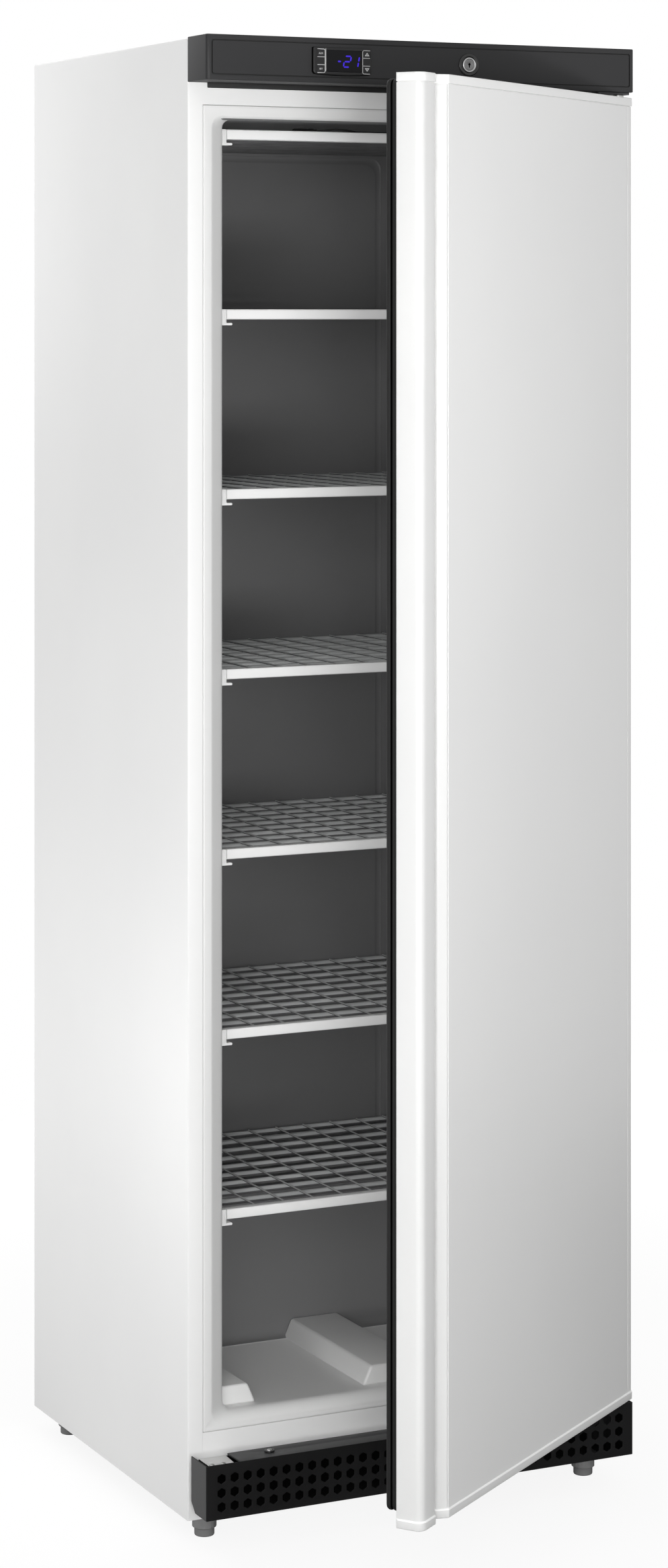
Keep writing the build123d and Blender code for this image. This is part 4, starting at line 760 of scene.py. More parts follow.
dress(liner, ("liner", "linerDark"), "inner_liner")
backEdge, stepEdge, ceilingEdge = at(0, 401, 340), at(240, 262, 360), at(0, 3, 1749.5)


def isDeep(face):
    # painted shade: the back wall, the front of the step and the ceiling take a darker grey than the side walls, for
    # the shade deep in the cavity
    x, y, z = face.center
    back = y > backEdge.y and z > backEdge.z
    step = y > stepEdge.y and 0.1505 < z < stepEdge.z and abs(x) < stepEdge.x
    return back or step or (y > ceilingEdge.y and z > ceilingEdge.z and face.normal.z < -0.5)


paintFaces(liner, isDeep)
print("liner made")

# the panel under the liner, with the tabs that carry the grille's cover
lowerPanel = {
    "half": 279.8, "low": 26.5, "high": 132.3, "front": 0.3, "back": 1.0, "dark": 100.0, "tab": 12, "tabLow": 99,
    "tabHigh": 100.9,
}
outline = roundedBox(lowerPanel["front"], lowerPanel["back"], lowerPanel["low"], lowerPanel["high"], 0, 1)
panelSheet = addProfile("panel", outline, alongX, -lowerPanel["half"], lowerPanel["half"])
pick(panelSheet, "FACE", lambda centre, normal: True)
# painted shade: the panel is near-black below z 100, behind the grille
bpy.ops.mesh.bisect(plane_co=at(0, 0, lowerPanel["dark"]), plane_no=(0, 0, 1))
bpy.ops.object.mode_set(mode="OBJECT")
paintFaces(paint(panelSheet, "cabinet", "shade"), lambda face: face.center.z < lowerPanel["dark"] / 1000)
coverScrew = {"across": 197.0, "deep": -16.0, "hole": 2.15}
panelPieces = [panelSheet]
for side in (-1, 1):
    middle = side * coverScrew["across"]
    near = at(middle - lowerPanel["tab"], -30, lowerPanel["tabLow"])
    tab = softenEdges(addBlock("tab", near, at(middle + lowerPanel["tab"], 0.6, lowerPanel["tabHigh"])), 0.4)
    cutWith(tab, addRod("tabHole", (middle, coverScrew["deep"]), coverScrew["hole"], 90, 110, alongZ, 20))
    panelPieces.append(paint(tab, "cabinet"))
dress(smooth(joinPieces("lowerFrontPanel", panelPieces)), None, "lower_front_panel")
print("lower panel made")

# top fascia: a moulded cover with a groove round its front, holes behind the bezels and the strip under it
fascia = {
    "half": 300.0, "front": -57.8, "low": 1794.4, "high": 1850.0, "wall": 2.5, "corner": 4.0,
    "grooveInset": 6.3, "groove": 1.5, "grooveDepth": 1.9, "grooveCorner": 2.5, "stripLow": 1788.0, "stripDepth": 4.0,
}
control = {"x": -118.0, "z": 1821.1, "width": 79.7, "height": 34.2, "bow": 1.9, "print": 0.8, "hole": (35.85, 15.6)}
lock = {"x": 59.7, "z": 1822.5, "hole": 11.6}

fasciaLoops = []
for inset, height in (
    (1.2, fascia["low"]), (0.6, fascia["low"] + 0.15), (0.2, fascia["low"] + 0.55), (0, fascia["low"] + 1.2),
    (0, fascia["high"] - 1.2), (0.2, fascia["high"] - 0.55), (0.6, fascia["high"] - 0.15), (1.2, fascia["high"]),
):
    outline = roundedOutline(
        [
            (-fascia["half"] + inset, 0, 0),
            (fascia["half"] - inset, 0, 0),
            (fascia["half"] - inset, fascia["front"] + inset, fascia["corner"] - inset),
            (-fascia["half"] + inset, fascia["front"] + inset, fascia["corner"] - inset),
        ],
        6,
    )
    fasciaLoops.append([at(x, y, height) for x, y in outline])
cover = addLoft("topFascia", fasciaLoops)
inside, front = fascia["half"] - fascia["wall"], fascia["front"]
hollowLow = (-inside, front + fascia["wall"], fascia["low"] + fascia["wall"])
cutBlock(cover, "hollow", hollowLow, (inside, 5, fascia["high"] - fascia["wall"]))


def grooveRing(inset):
    side, low, high = fascia["half"] - inset, fascia["low"] + inset, fascia["high"] - inset
    return roundedBox(-side, side, low, high, fascia["grooveCorner"], 5)


groove = addProfile("groove", grooveRing(fascia["grooveInset"]), alongY, front - 2, front + fascia["grooveDepth"])
core = addProfile("grooveCore", grooveRing(fascia["grooveInset"] + fascia["groove"]), alongY, front - 4, front + 4)
cutWith(cover, cutWith(groove, core))
x, z, (u, v) = control["x"], control["z"], control["hole"]
cutBlock(cover, "controlHole", (x - u, -62, z - v), (x + u, -50, z + v))
cutWith(cover, addRod("lockHole", (lock["x"], lock["z"]), lock["hole"], -62, -50, alongY))
cutBlock(cover, "camSlot", (19.7, -40.55, 1790), (73.7, -30.55, 1799))
cutBlock(cover, "hingeSlot", (250, -3, 1790), (297.5, 2, 1799))
paint(smooth(cover, 25), "fascia", "strip", "fasciaSideShade")
grooveLow, grooveHigh = at(-294.5, front + 0.2, 1800), at(294.5, front + 2.1, 1844.5)


def fasciaFinish(face):
    # painted shade: the groove takes the strip's black and the ends a darker black than the face, but not the edges of
    # the two holes
    x, y, z = face.center
    if abs(face.normal.x) > 0.9 and abs(x) > 0.2995:
        return 2
    sunk = grooveLow.y < y < grooveHigh.y and abs(x) < grooveHigh.x and grooveLow.z < z < grooveHigh.z
    return sunk and abs(x - lock["x"] / 1000) > 0.013 and abs(x - control["x"] / 1000) > 0.037


paintFaces(cover, fasciaFinish)
strip = addBlock("strip", at(-274, -fascia["stripDepth"], fascia["stripLow"]), at(250, -0.2, fascia["low"] + 0.5))
paint(softenEdges(strip, 0.8, 3), "strip")
dress(joinPieces("topFascia", [cover, strip]), None, "top_fascia")
print("fascia made")


def onControl(u, v, along):
    # u and v from the middle of the thermostat, along is the depth
    return at(control["x"] + u, along, control["z"] + v)


# thermostat: bezel bowed along its lower edge, raised window frame, key frames printed in pale lines
halfWidth, halfHeight = control["width"] / 2, control["height"] / 2
bowSteps = 10
bowEnd = -halfHeight + control["bow"]
bezelCorners = [(-halfWidth, halfHeight, 1.6), (halfWidth, halfHeight, 1.6), (halfWidth, bowEnd, 4.0)]
for step in range(2, bowSteps - 1):
    across = halfWidth * math.cos(math.pi * step / bowSteps)
    drop = control["bow"] * (1 - (across / halfWidth) ** 2)
    bezelCorners.append((across, bowEnd - drop, 0))
bezelCorners.append((-halfWidth, bowEnd, 4.0))


def shrunk(corners, amount):
    return [(x * (1 - amount / halfWidth), z * (1 - amount / halfHeight), radius) for x, z, radius in corners]


bezelLoops = []
for inset, depth in ((0.0, -57.8), (0.0, -59.9), (0.25, -60.45), (0.8, -60.75), (1.6, -60.8)):
    bezelLoops.append([onControl(u, v, depth) for u, v in roundedOutline(shrunk(bezelCorners, inset), 5)])
bezel = addLoft("bezel", bezelLoops)
sleeve = addBlock("sleeve", onControl(-35.5, -15.2, -57.9), onControl(35.5, 15.2, -49.8))
lens = {"left": -22.6, "right": 26.6, "low": -13.1, "high": 13.9, "corners": (2.6, 0.8, 0.8, 2.6)}


def lensRing(inset):
    left, right = lens["left"] + inset, lens["right"] - inset
    return roundedBox(left, right, lens["low"] + inset, lens["high"] - inset, lens["corners"], 5)


cutWith(bezel, addProfile("lensSeat", lensRing(0), onControl, -62, -59.4))
# a black ring between the bezel and the fascia, painted shade, wider at its left and lower edges where the bezel's
# shadow falls
shadeRingOutline = [(x - 1.2 if x < 0 else x + 0.4, z + 0.1 if z > 0 else z - 0.7, radius) for x, z, radius in bezelCorners]
shadeRing = addProfile("controlShadeRing", roundedOutline(shadeRingOutline, 5), onControl, -58.3, -57.9)
keys = {
    "left": -30.0, "right": 33.2, "upper": 9.8, "lower": -9.4, "front": -61.5, "half": (4.95, 4.3), "hole": (5.25, 4.6),
}
for across in (keys["left"], keys["right"]):
    for height in (keys["upper"], keys["lower"]):
        for part in (bezel, sleeve, shadeRing):
            u, v = keys["hole"]
            cutBlock(part, "keyHole", (across - u, height - v, -62), (across + u, height + v, -49), onControl)
paint(smooth(bezel, 30), "control", "shade")
# painted shade on the bezel's sides
paintFaces(bezel, lambda face: abs(face.normal.y) < 0.4)
controlParts = [bezel, paint(sleeve, "control"), paint(shadeRing, "shade")]


def printLine(*points):
    # flat printed strips from point to point of the control's face
    for first, last in zip(points, points[1:]):
        first, last = Vector(first), Vector(last)
        along = (last - first).normalized()
        side = Vector((-along.y, along.x)) * control["print"] / 2
        outline = [tuple(point) for point in (first - side, last - side, last + side, first + side)]
        controlParts.append(paint(addProfile("mark", outline, onControl, -60.9, -60.7), "mark"))


# square brackets round the keys: upright line, the ends' reach, top and bottom
for line, end, top, low in ((-24.2, -34.6, 14.9, -14.4), (27.45, 37.6, 14.4, -14.4)):
    way = 1 if end > line else -1
    round_, starts = 2.0, []
    for sign, level in ((1, top), (-1, low)):
        path = []
        for angle in (0, 30, 60, 90):
            turn = math.radians(angle)
            across = line + way * round_ - way * round_ * math.cos(turn)
            path.append((across, level - sign * round_ + sign * round_ * math.sin(turn)))
        printLine(*path, (end, level))
        starts.append(path[0])
    printLine(*starts)
    for row in (5.1, -4.6):
        printLine((line, row), (end, row))
# painted highlight: a pale strip along the left edge of the window's frame
windowEdgeHighlight = addBlock("windowEdgeHighlight", onControl(-23.7, -11.8, -61.0), onControl(-22.75, 15.6, -60.6))
controlParts.append(paint(softenEdges(windowEdgeHighlight, 0.15), "mark"))
dress(joinPieces("thermostatFrame", controlParts), None, "thermostat_frame")

# window, with slanted seven-bar digits just under its surface
loops = []
for inset, depth in ((0.1, -59.4), (0.1, -60.3), (0.35, -60.5), (0.8, -60.55)):
    loops.append([onControl(u, v, depth) for u, v in lensRing(inset)])
windowParts = [paint(smooth(addLoft("window", loops), 30), "lens")]
digits = {
    "width": 8.4, "height": 13.4, "bar": 1.9, "slant": 0.2, "foot": -6.6,
    # left edge, bars and scale of each digit
    "shown": ((-8.6, "g", 0.68), (0.9, "abged", 1.0), (12.2, "bc", 1.0)),
}
barPlaces = {
    "a": ((0, 1), (1, 1)), "b": ((1, 1), (1, 0.5)), "c": ((1, 0.5), (1, 0)), "d": ((0, 0), (1, 0)),
    "e": ((0, 0.5), (0, 0)), "f": ((0, 1), (0, 0.5)), "g": ((0, 0.5), (1, 0.5)),
}
for left, bars, scale in digits["shown"]:
    for bar in bars:
        ends = []
        for u, v in barPlaces[bar]:
            height = digits["foot"] + v * digits["height"]
            ends.append(Vector((left + u * digits["width"] * scale + digits["slant"] * v * digits["height"], height)))
        along = (ends[1] - ends[0]).normalized()
        first, last = ends[0] + along * 0.5, ends[1] - along * 0.5
        side = Vector((-along.y, along.x)) * digits["bar"] / 2
        tip = along * digits["bar"] / 2
        outline = [first, first + tip - side, last - tip - side, last, last - tip + side, first + tip + side]
        windowParts.append(paint(addProfile("bar", [tuple(p) for p in outline], onControl, -60.62, -60.5), "digits"))
dress(joinPieces("thermostatWindow", windowParts), None, "thermostat_lens")


def addWord(name, word, size, centre, low, high):
    # letters from the built-in face, made a mesh, stood up on the key
    clearSelection()
    bpy.ops.object.text_add(location=(0, 0, 0))
    letters = bpy.context.object
    letters.data.body = word
    letters.data.size = size / 1000
    letters.data.align_x, letters.data.align_y = "CENTER", "CENTER"
    letters.data.extrude = (high - low) / 2000
    letters.data.offset = 0.00006
    makeActive(letters)
    bpy.ops.object.convert(target="MESH")
    piece = bpy.context.object
    piece.name = name
    corners = [vertex.co for vertex in piece.data.vertices]
    middle, height = [(max(c[axis] for c in corners) + min(c[axis] for c in corners)) / 2 for axis in (0, 1)]
    for vertex in piece.data.vertices:
        u, v, depth = vertex.co
        across, up = centre[0] + (u - middle) * 1000, centre[1] + (v - height) * 1000
        vertex.co = onControl(across, up, (low + high) / 2 - depth * 1000)
    return closeMesh(piece)


words = {"upper": "AUX", "lower": "SET", "size": 2.9}
arrow = {"tall": 4.3, "wide": 3.3, "hole": 0.36}
printed = (keys["front"] - 0.08, keys["front"] + 0.05)
for side in ("left", "right"):
    for level, way in (("upper", 1), ("lower", -1)):
        across, height = keys[side], keys[level]
        u, v = keys["half"]
        near, far = onControl(across - u, height - v, keys["front"]), onControl(across + u, height + v, -58.9)
        keyParts = [paint(softenEdges(addBlock("key", near, far), 0.6, 3), "key")]
        if side == "left":
            mark = addWord("word", words[level], words["size"], (across, height - 0.3), *printed)
        else:
            # an arrow: a thick triangle with a small hole
            half, middle = arrow["tall"] / 2, -way * arrow["tall"] / 9
            corners = [(0, way * half), (arrow["wide"], -way * half), (-arrow["wide"], -way * half)][::way]
            outer = [(across + x, height + z) for x, z in corners]
            inner = [(across + x * arrow["hole"], height + middle + (z - middle) * arrow["hole"]) for x, z in corners]
            mark = addProfile("arrow", outer, onControl, *printed)
            cutWith(mark, addProfile("arrowHole", inner, onControl, keys["front"] - 1, keys["front"] + 1))
        keyParts.append(paint(mark, "mark"))
        key = joinPieces(f"key{side.title()}{level.title()}", keyParts)
        dress(key, None, f"key_{side}_{level}", f"key_{side}_{level}_body")
print("thermostat made")

# lock: black bezel, turned barrel with a bright rim, a fine face and its keyway
lockCentre = (lock["x"], lock["z"])
bezelProfile = [
    (11.5, -37.0), (11.5, -57.7), (14.0, -57.8), (14.3, -58.1), (14.2, -58.7), (13.6, -59.25), (12.8, -59.4),
    (11.0, -59.4), (10.2, -59.0), (9.4, -58.6),
]
housing = addTurned("lockHousing", lockCentre, bezelProfile, alongY, 48)
cutWith(housing, addRod("barrelHole", lockCentre, 9.38, -70, -30, alongY, 48))
dress(smooth(housing, 40), "lockBezel", "lock_housing")
barrelProfile = [
    (9.3, -36.9), (9.3, -59.3), (9.1, -59.75), (8.7, -59.98), (8.2, -60.0), (7.75, -59.8), (7.6, -59.45), (7.3, -59.3),
    (6.9, -59.5), (6.4, -59.62), (3.6, -59.7), (3.2, -59.5), (2.9, -59.45), (0.4, -59.45),
]
barrel = addTurned("lockBarrel", lockCentre, barrelProfile, alongY, 48)
x, z = lockCentre
cutBlock(barrel, "keyway", (x - 0.75, -61, z - 3.4), (x + 0.75, -55.5, z + 2.4))
cutWith(barrel, addRod("keyRound", (x, z + 0.6), 1.7, -61, -55.5, alongY, 20))
lockMiddle = at(x, -59.2, z)


def barrelFinish(face):
    # a bright rim, a fine face, and painted shade in the keyway
    across = math.hypot(face.center.x - lockMiddle.x, face.center.z - lockMiddle.z) * 1000
    if face.center.y > lockMiddle.y and across < 4.0:
        return 2
    return across < 7.2 and face.normal.y < -0.7


paintFaces(paint(barrel, "metal", "lockFace", "shade"), barrelFinish)
dress(smooth(barrel, 30), None, "lock_barrel", "lock")
print("lock made")

# shelves: a winding cooling tube between two rails, with wires along it; one is made and copied
shelf = {
    "half": 205.0, "first": 56.0, "pitch": 42.0, "runs": 10, "tube": 4.0, "tubeHeight": -6.35, "wire": 1.2,
    "wireHeight": -1.95, "wires": 10, "wirePitch": 41.0, "near": 58.0, "far": 400.0, "frame": 243.0,
}


def windingPath(runs, pitch, half, start, first, steps):
    # level runs joined by half turns, as (across, along) points
    path = []
    for run in range(runs):
        across = first if run % 2 == 0 else -first
        line = start + run * pitch
        path += [(across * half, line), (-across * half, line)]
        if run < runs - 1:
            for step in range(1, steps):
                angle = math.pi * step / steps
                path.append((-across * (half + pitch / 2 * math.sin(angle)), line + pitch / 2 * (1 - math.cos(angle))))
    return path


top = shared["shelfTops"][0]
last = shelf["first"] + (shelf["runs"] - 1) * shelf["pitch"]
winding = windingPath(shelf["runs"], shelf["pitch"], shelf["half"], shelf["first"], -1, 8)
shelfParts = [tubeAlong("tube", [at(x, y, top + shelf["tubeHeight"]) for x, y in winding], shelf["tube"], 10)]
for number in range(shelf["wires"]):
    across = (number - (shelf["wires"] - 1) / 2) * shelf["wirePitch"]
    height = top + shelf["wireHeight"]
    ends = [at(across, shelf["first"], height), at(across, last, height)]
    shelfParts.append(tubeAlong("wire", ends, shelf["wire"], 6))
for side in (-1, 1):
    low, high = sorted((side * 236.0, side * shelf["frame"]))
    rail = addBlock("rail", at(low, shelf["near"], top - 13.0), at(high, shelf["far"], top - 3.0))
    shelfParts.append(softenEdges(rail, 1.0, 2))
for line in (shelf["near"], shelf["far"] - 4.0):
    end = shelf["frame"] - 0.5
    bar = addBlock("bar", at(-end, line, top - 10.35), at(end, line + 4.0, top - 3.15))
    shelfParts.append(softenEdges(bar, 0.8, 2))
firstShelf = joinPieces("shelf1", shelfParts)
for number, height in enumerate(shared["shelfTops"], start=1):
    piece = firstShelf if number == 1 else copyPiece(firstShelf, f"shelf{number}", (0, 0, height - top))
    dress(piece, ("shelf", "shelfUnder"), f"shelf_{number}")
    # painted shade: the faces that look down take the darker grey
    paintFaces(piece, lambda face: face.normal.z < 0.1)
print("shelves made")

# moulded trim along the front of each shelf, and the clip at each end of it
trimOutline = [
    (52.0, 0, 0.4), (40.0, 0, 1.8), (40.0, -12.7, 1.8), (52.0, -12.7, 0.4), (52.0, -10.9, 0.4), (42.0, -10.9, 0.6),
    (42.0, -1.8, 0.6), (52.0, -1.8, 0.4),
]
trim = addProfile("shelfTrim", [(y, top + z) for y, z in roundedOutline(trimOutline, 3)], alongX, -229.4, 229.4)
clipOutline = [
    (243.9, 0, 0.4), (230.0, 0, 1.6), (230.0, -17.0, 0.9), (222.0, -17.0, 1.0), (222.0, -20.0, 1.0),
    (243.9, -20.0, 0.4),
]
clips = []
for side in (-1, 1):
    outline = [(side * x, top + z) for x, z in roundedOutline(clipOutline, 3)]
    near, far = sorted((side * 231.5, side * 233.0))
    clips.append(softenEdges(addProfile("clip", outline, alongY, 40.0, 58.0), 0.5, 2, 50))
    clips.append(softenEdges(addBlock("clipRib", at(near, 39.6, top - 15.5), at(far, 40.4, top - 2.5)), 0.2, 1))
for name, node, piece in (
    ("shelfFrontTrims", "shelf_front_trims", smooth(trim, 30)),
    ("shelfClips", "shelf_clips", joinPieces("clipPair", clips)),
):
    copies = [copyPiece(piece, "copy", (0, 0, height - top)) for height in shared["shelfTops"][1:]]
    dress(joinPieces(name, [piece] + copies), "shelfTrim", node)

# the tube that feeds the shelves from below, with a sleeve where it meets each of them
riserProfile = [(4.0, 350.2)]
for height in reversed(shared["shelfTops"]):
    for radius, along in ((4.0, -16.0), (5.0, -15.0), (5.0, -11.5), (4.0, -10.5)):
        riserProfile.append((radius, height + along))
riserProfile += [(4.0, top - 3.2), (3.2, top - 2.4), (1.5, top - 2.35)]
riser = addTurned("riserTube", (-209.0, 434.0), riserProfile, alongZ, 16)
dress(riser, "shelf", "riser_tube")
print("shelf trims, clips and riser made")

# temperature probe: its lead lies over the top shelf's wires, from the grommet in the wall to the capsule
leadRoute = [
    (-92, 76, 1742.35), (-80, 72, 1742.35), (-67, 67, 1744.55), (-53, 63, 1743.35), (-37, 61.5, 1740.65),
    (-12, 64, 1740.95), (18, 62.5, 1740.55), (55, 67, 1740.85), (95, 74, 1740.55), (136, 77, 1740.85),
    (176, 84, 1740.55), (212, 90, 1742.15), (240, 90, 1742.15),
]
leadPoints = [at(*point) for point in reversed(leadRoute)]
lead = addCurve("probeLead", "NURBS", leadPoints, 1.2, 3)
lead.data.splines[0].order_u = 3
lead.data.splines[0].use_endpoint_u = True
lead.data.resolution_u = 12
dress(lead, "probe", "probe_lead")

probeAxis = Vector((-12.0, 4.0, 0)).normalized()
probeSide = Vector((-probeAxis.y, probeAxis.x, 0))


def alongProbe(u, v, along):
    point = Vector(leadRoute[0]) + probeAxis * along + probeSide * u + Vector((0, 0, v))
    return at(*point)


capsuleProfile = [
    (1.3, -4.0), (1.9, -3.4), (2.2, 0.2), (2.9, 0.8), (3.0, 1.4), (3.0, 7.0), (2.7, 7.6), (2.7, 8.8), (3.0, 9.4),
    (3.0, 25.0), (2.6, 26.8), (1.6, 27.8), (0.5, 28.0),
]
capsule = addTurned("capsule", (0, 0), capsuleProfile, alongProbe, 20)


def alongWall(u, v, along):
    return at(along, 90 + u, 1742.15 + v)


grommetProfile = [(1.3, 239.6), (3.0, 240.0), (3.9, 241.2), (4.9, 241.6), (5.0, 243.0), (4.8, 244.0)]
grommet = addTurned("grommet", (0, 0), grommetProfile, alongWall, 24)
probe = joinPieces("temperatureProbe", [capsule, grommet])
dress(probe, "probe", "temperature_probe")
print("probe made")

# grille: a folded front with rows of six-sided holes and a cut corner at each side
grille = {
    "half": 299.7, "front": -55.6, "sheet": 1.5, "low": 42.2, "high": 109.2, "sideBack": -9.8, "rightBack": -0.9,
    "cut": 12.0,
    "hole": 11.0, "columns": 33, "pitch": 17.44, "rows": 3, "rowPitch": 17.2, "topRow": 91.4,
}
half, inner = grille["half"], grille["half"] - grille["sheet"]
grilleOutline = roundedOutline(
    [
        (-half, grille["sideBack"], 0), (-half, grille["front"], 1.6), (half, grille["front"], 1.6),
        (half, grille["rightBack"], 0), (inner, grille["rightBack"], 0),
        (inner, grille["front"] + grille["sheet"], 0.6), (-inner, grille["front"] + grille["sheet"], 0.6),
        (-inner, grille["sideBack"], 0),
    ],
    4,
)
front = addProfile("frontGrille", grilleOutline, alongZ, grille["low"], grille["high"])
reach = grille["hole"] / 2 / math.cos(math.pi / 6)
turns = [math.radians(30 + 60 * k) for k in range(6)]
hexagon = [(reach * math.cos(turn), reach * math.sin(turn)) for turn in turns]
outline = [(x, grille["topRow"] + z) for x, z in hexagon]
firstHole = addProfile("hole", outline, alongY, grille["front"] - 3, grille["front"] + 5)
holes = []
for row in range(grille["rows"]):
    for column in range(grille["columns"]):
        across = (column - (grille["columns"] - 1) / 2) * grille["pitch"]
        holes.append(copyPiece(firstHole, "hole", (across, 0, -row * grille["rowPitch"])))
bpy.data.objects.remove(firstHole)
cutWith(front, joinPieces("holes", holes))
corner = [
    (grille["sideBack"] + 2, grille["low"] - 2), (grille["sideBack"] + 2, grille["low"] + grille["cut"]),
    (grille["sideBack"], grille["low"] + grille["cut"]), (grille["sideBack"] - grille["cut"], grille["low"]),
    (grille["sideBack"] - grille["cut"], grille["low"] - 2),
]
cutWith(front, addProfile("corner", corner, alongX, -305, 0))
softenEdges(front, 0.3, 1, 50)
dress(front, ("grille", "grilleSide"), "front_grille")
# painted sheen: the grille's sides take a lighter black than its front
paintFaces(front, lambda face: abs(face.normal.x) > 0.9 and abs(face.center.x) > 0.2994)
print("grille made")

# cover over the grille, and the plate of the unused hinge beside it
coverOutline = [
    (-247.0, -0.2, 0.5), (-247.0, -8.0, 8.0), (-245.0, -54.0, 1.5),
    (245.0, -54.0, 1.5), (247.0, -8.0, 8.0), (247.0, -0.2, 0.5),
]
grilleCover = addProfile("grilleCover", roundedOutline(coverOutline, 3), alongZ, 101.0, 103.0)
screwPlaces = [(side * coverScrew["across"], coverScrew["deep"]) for side in (-1, 1)]
for place in screwPlaces:
    cutWith(grilleCover, addRod("coverHole", place, coverScrew["hole"], 95, 110, alongZ, 20))
dress(softenEdges(grilleCover, 0.4, 2, 50), "cover", "grille_cover")
spareOutline = [
    (-38.0, 98.5, 0.4), (-38.0, 101.5, 0.4), (-0.1, 101.5, 3.2), (-0.1, 64.5, 0.4), (-3.0, 64.5, 0.4),
    (-3.0, 98.5, 1.0),
]
spare = addProfile("spareHingePlate", roundedOutline(spareOutline, 4), alongX, -286.0, -250.0)
plateScrews = [(-282.0, -33.0), (-267.0, -33.0)]
for place in plateScrews:
    cutWith(spare, addRod("spareHole", place, 2.15, 90, 110, alongZ, 20))
cutWith(spare, addProfile("slant", [(-249, 1), (-249, -40), (-253.2, -40), (-250.2, -2)], alongZ, 60, 110))
dress(softenEdges(spare, 0.3, 2, 50), ("plate", "shade"), "spare_hinge_plate")
# painted shade: the plate's flange below z 97.5 is near-black
paintFaces(spare, lambda face: face.center.z < 0.0975)

washerProfile = [
    (2.2, 103.0), (6.2, 103.0), (6.5, 103.3), (6.5, 104.1), (6.0, 104.8), (5.2, 105.0), (4.4, 104.8), (3.9, 104.0),
    (2.2, 104.0),
]
screwProfile = [(2.0, 95.9), (2.0, 103.8), (3.6, 103.9), (3.6, 104.5), (3.2, 105.3), (2.2, 105.9), (0.5, 106.1)]
plateScrewProfile = [(2.0, 93.5), (2.0, 101.4), (3.5, 101.5), (3.6, 102.1), (3.1, 103.1), (2.0, 103.6), (0.5, 103.7)]
screwParts = []
for x, y in screwPlaces:
    screwParts.append(paint(addTurned("washer", (x, y), washerProfile), "lockBezel"))
    screw = addTurned("screw", (x, y), screwProfile, sides=24)
    for u, v in ((2.0, 0.4), (0.4, 2.0)):
        cutBlock(screw, "slot", (x - u, y - v, 105.0), (x + u, y + v, 108))
    screwParts.append(paint(screw, "steel"))
for x, y in plateScrews:
    screw = addTurned("plateScrew", (x, y), plateScrewProfile, sides=24)
    cutBlock(screw, "slot", (x - 2.2, y - 0.4, 102.6), (x + 2.2, y + 0.4, 106))
    screwParts.append(paint(screw, "steel"))
dress(joinPieces("bodyScrews", screwParts), None, "body_screws")
print("cover, plate and screws made")

# levelling feet: ribbed collar, rounded sole and threaded stud
footSteps = [
    # radius, height and depth of the ribs
    (12.2, 0.0, 0), (13.2, 0.35, 0), (13.9, 1.3, 0), (14.0, 2.4, 0), (14.0, 9.2, 0), (14.6, 10.0, 0), (16.0, 10.3, 0),
    (16.8, 11.0, 0.2), (16.8, 13.0, 0.2), (16.8, 24.0, 0.2), (16.6, 25.4, 0.1), (15.8, 26.1, 0), (5.2, 26.15, 0),
    (4.9, 27.0, 0),
]
for turn in range(8):
    footSteps += [(4.5, 28.0 + 3 * turn, 0), (4.95, 29.5 + 3 * turn, 0)]
footSteps.append((4.2, 52.0, 0))
# the collar is drawn narrower than the CAD's, as in the photo
foot = {"narrow": 0.89, "stud": 9, "ribs": 18, "points": 72, "across": 269.0, "front": 20.0, "rear": 470.0}
footTurns = [2 * math.pi * step / foot["points"] for step in range(foot["points"])]
for end in ("front", "rear"):
    for side, way in (("left", -1), ("right", 1)):
        across, deep = way * foot["across"], foot[end]
        loops = []
        for radius, height, ripple in footSteps:
            plain = radius * (foot["narrow"] if radius > foot["stud"] else 1)
            loop = []
            for angle in footTurns:
                reach = plain + ripple * math.cos(foot["ribs"] * angle)
                loop.append(at(across + reach * math.cos(angle), deep + reach * math.sin(angle), height))
            loops.append(loop)
        piece = smooth(addLoft(f"{end}{side.title()}Foot", loops), 40)
        dress(piece, "foot", f"{end}_{side}_foot", f"{end}_{side}_foot_body")
print("feet made")

# hinge brackets: a level plate with rounded corners, bent up or down against the cabinet
hinge = {"left": 250.0, "right": 297.5, "front": -53.5, "sheet": 3.0, "flange": 34.0}
for name, nodeName, low, way in (
    ("upperHingeBracket", "upper_hinge_bracket", 1791.4, 1),
    ("lowerHingeBracket", "lower_hinge_bracket", 98.5, -1),
):
    plan = roundedBox(hinge["left"], hinge["right"], 0, hinge["front"], (0.3, 5.0, 5.0, 0.3), 6)
    plate = addProfile(name, plan, alongZ, low, low + hinge["sheet"])
    cutWith(plate, addRod("pinHole", shared["pin"], 4.0, low - 5, low + 8))
    softenEdges(plate, 0.5, 2, 50)
    seat = low + hinge["sheet"] - 0.5 if way > 0 else low + 0.5
    end = low + hinge["sheet"] + hinge["flange"] if way > 0 else low - hinge["flange"]
    flange = addBlock("flange", at(hinge["left"], -3.0, min(seat, end)), at(hinge["right"], -0.05, max(seat, end)))
    softenEdges(flange, 0.5, 2)
    dress(joinPieces(name, [plate, flange]), "hingeDark", nodeName)
pinProfiles = {
    "upperPin": [
        (2.8, 1777.5), (3.7, 1778.0), (4.0, 1779.0), (4.0, 1788.6), (6.6, 1788.7), (6.9, 1789.0), (6.9, 1790.6),
        (6.6, 1790.9), (4.0, 1791.0), (4.0, 1794.2), (3.5, 1794.4),
    ],
    "lowerPin": [
        (3.4, 98.6), (4.0, 99.0), (4.0, 101.4), (6.7, 101.5), (7.0, 101.9), (7.0, 111.8), (6.7, 112.2), (4.0, 112.25),
        (4.0, 121.0), (3.6, 122.0), (2.8, 122.5),
    ],
}
pins = [addTurned(name, shared["pin"], profile) for name, profile in pinProfiles.items()]
dress(joinPieces("hingePins", pins), "steel", "hinge_pins")
print("hinges made")

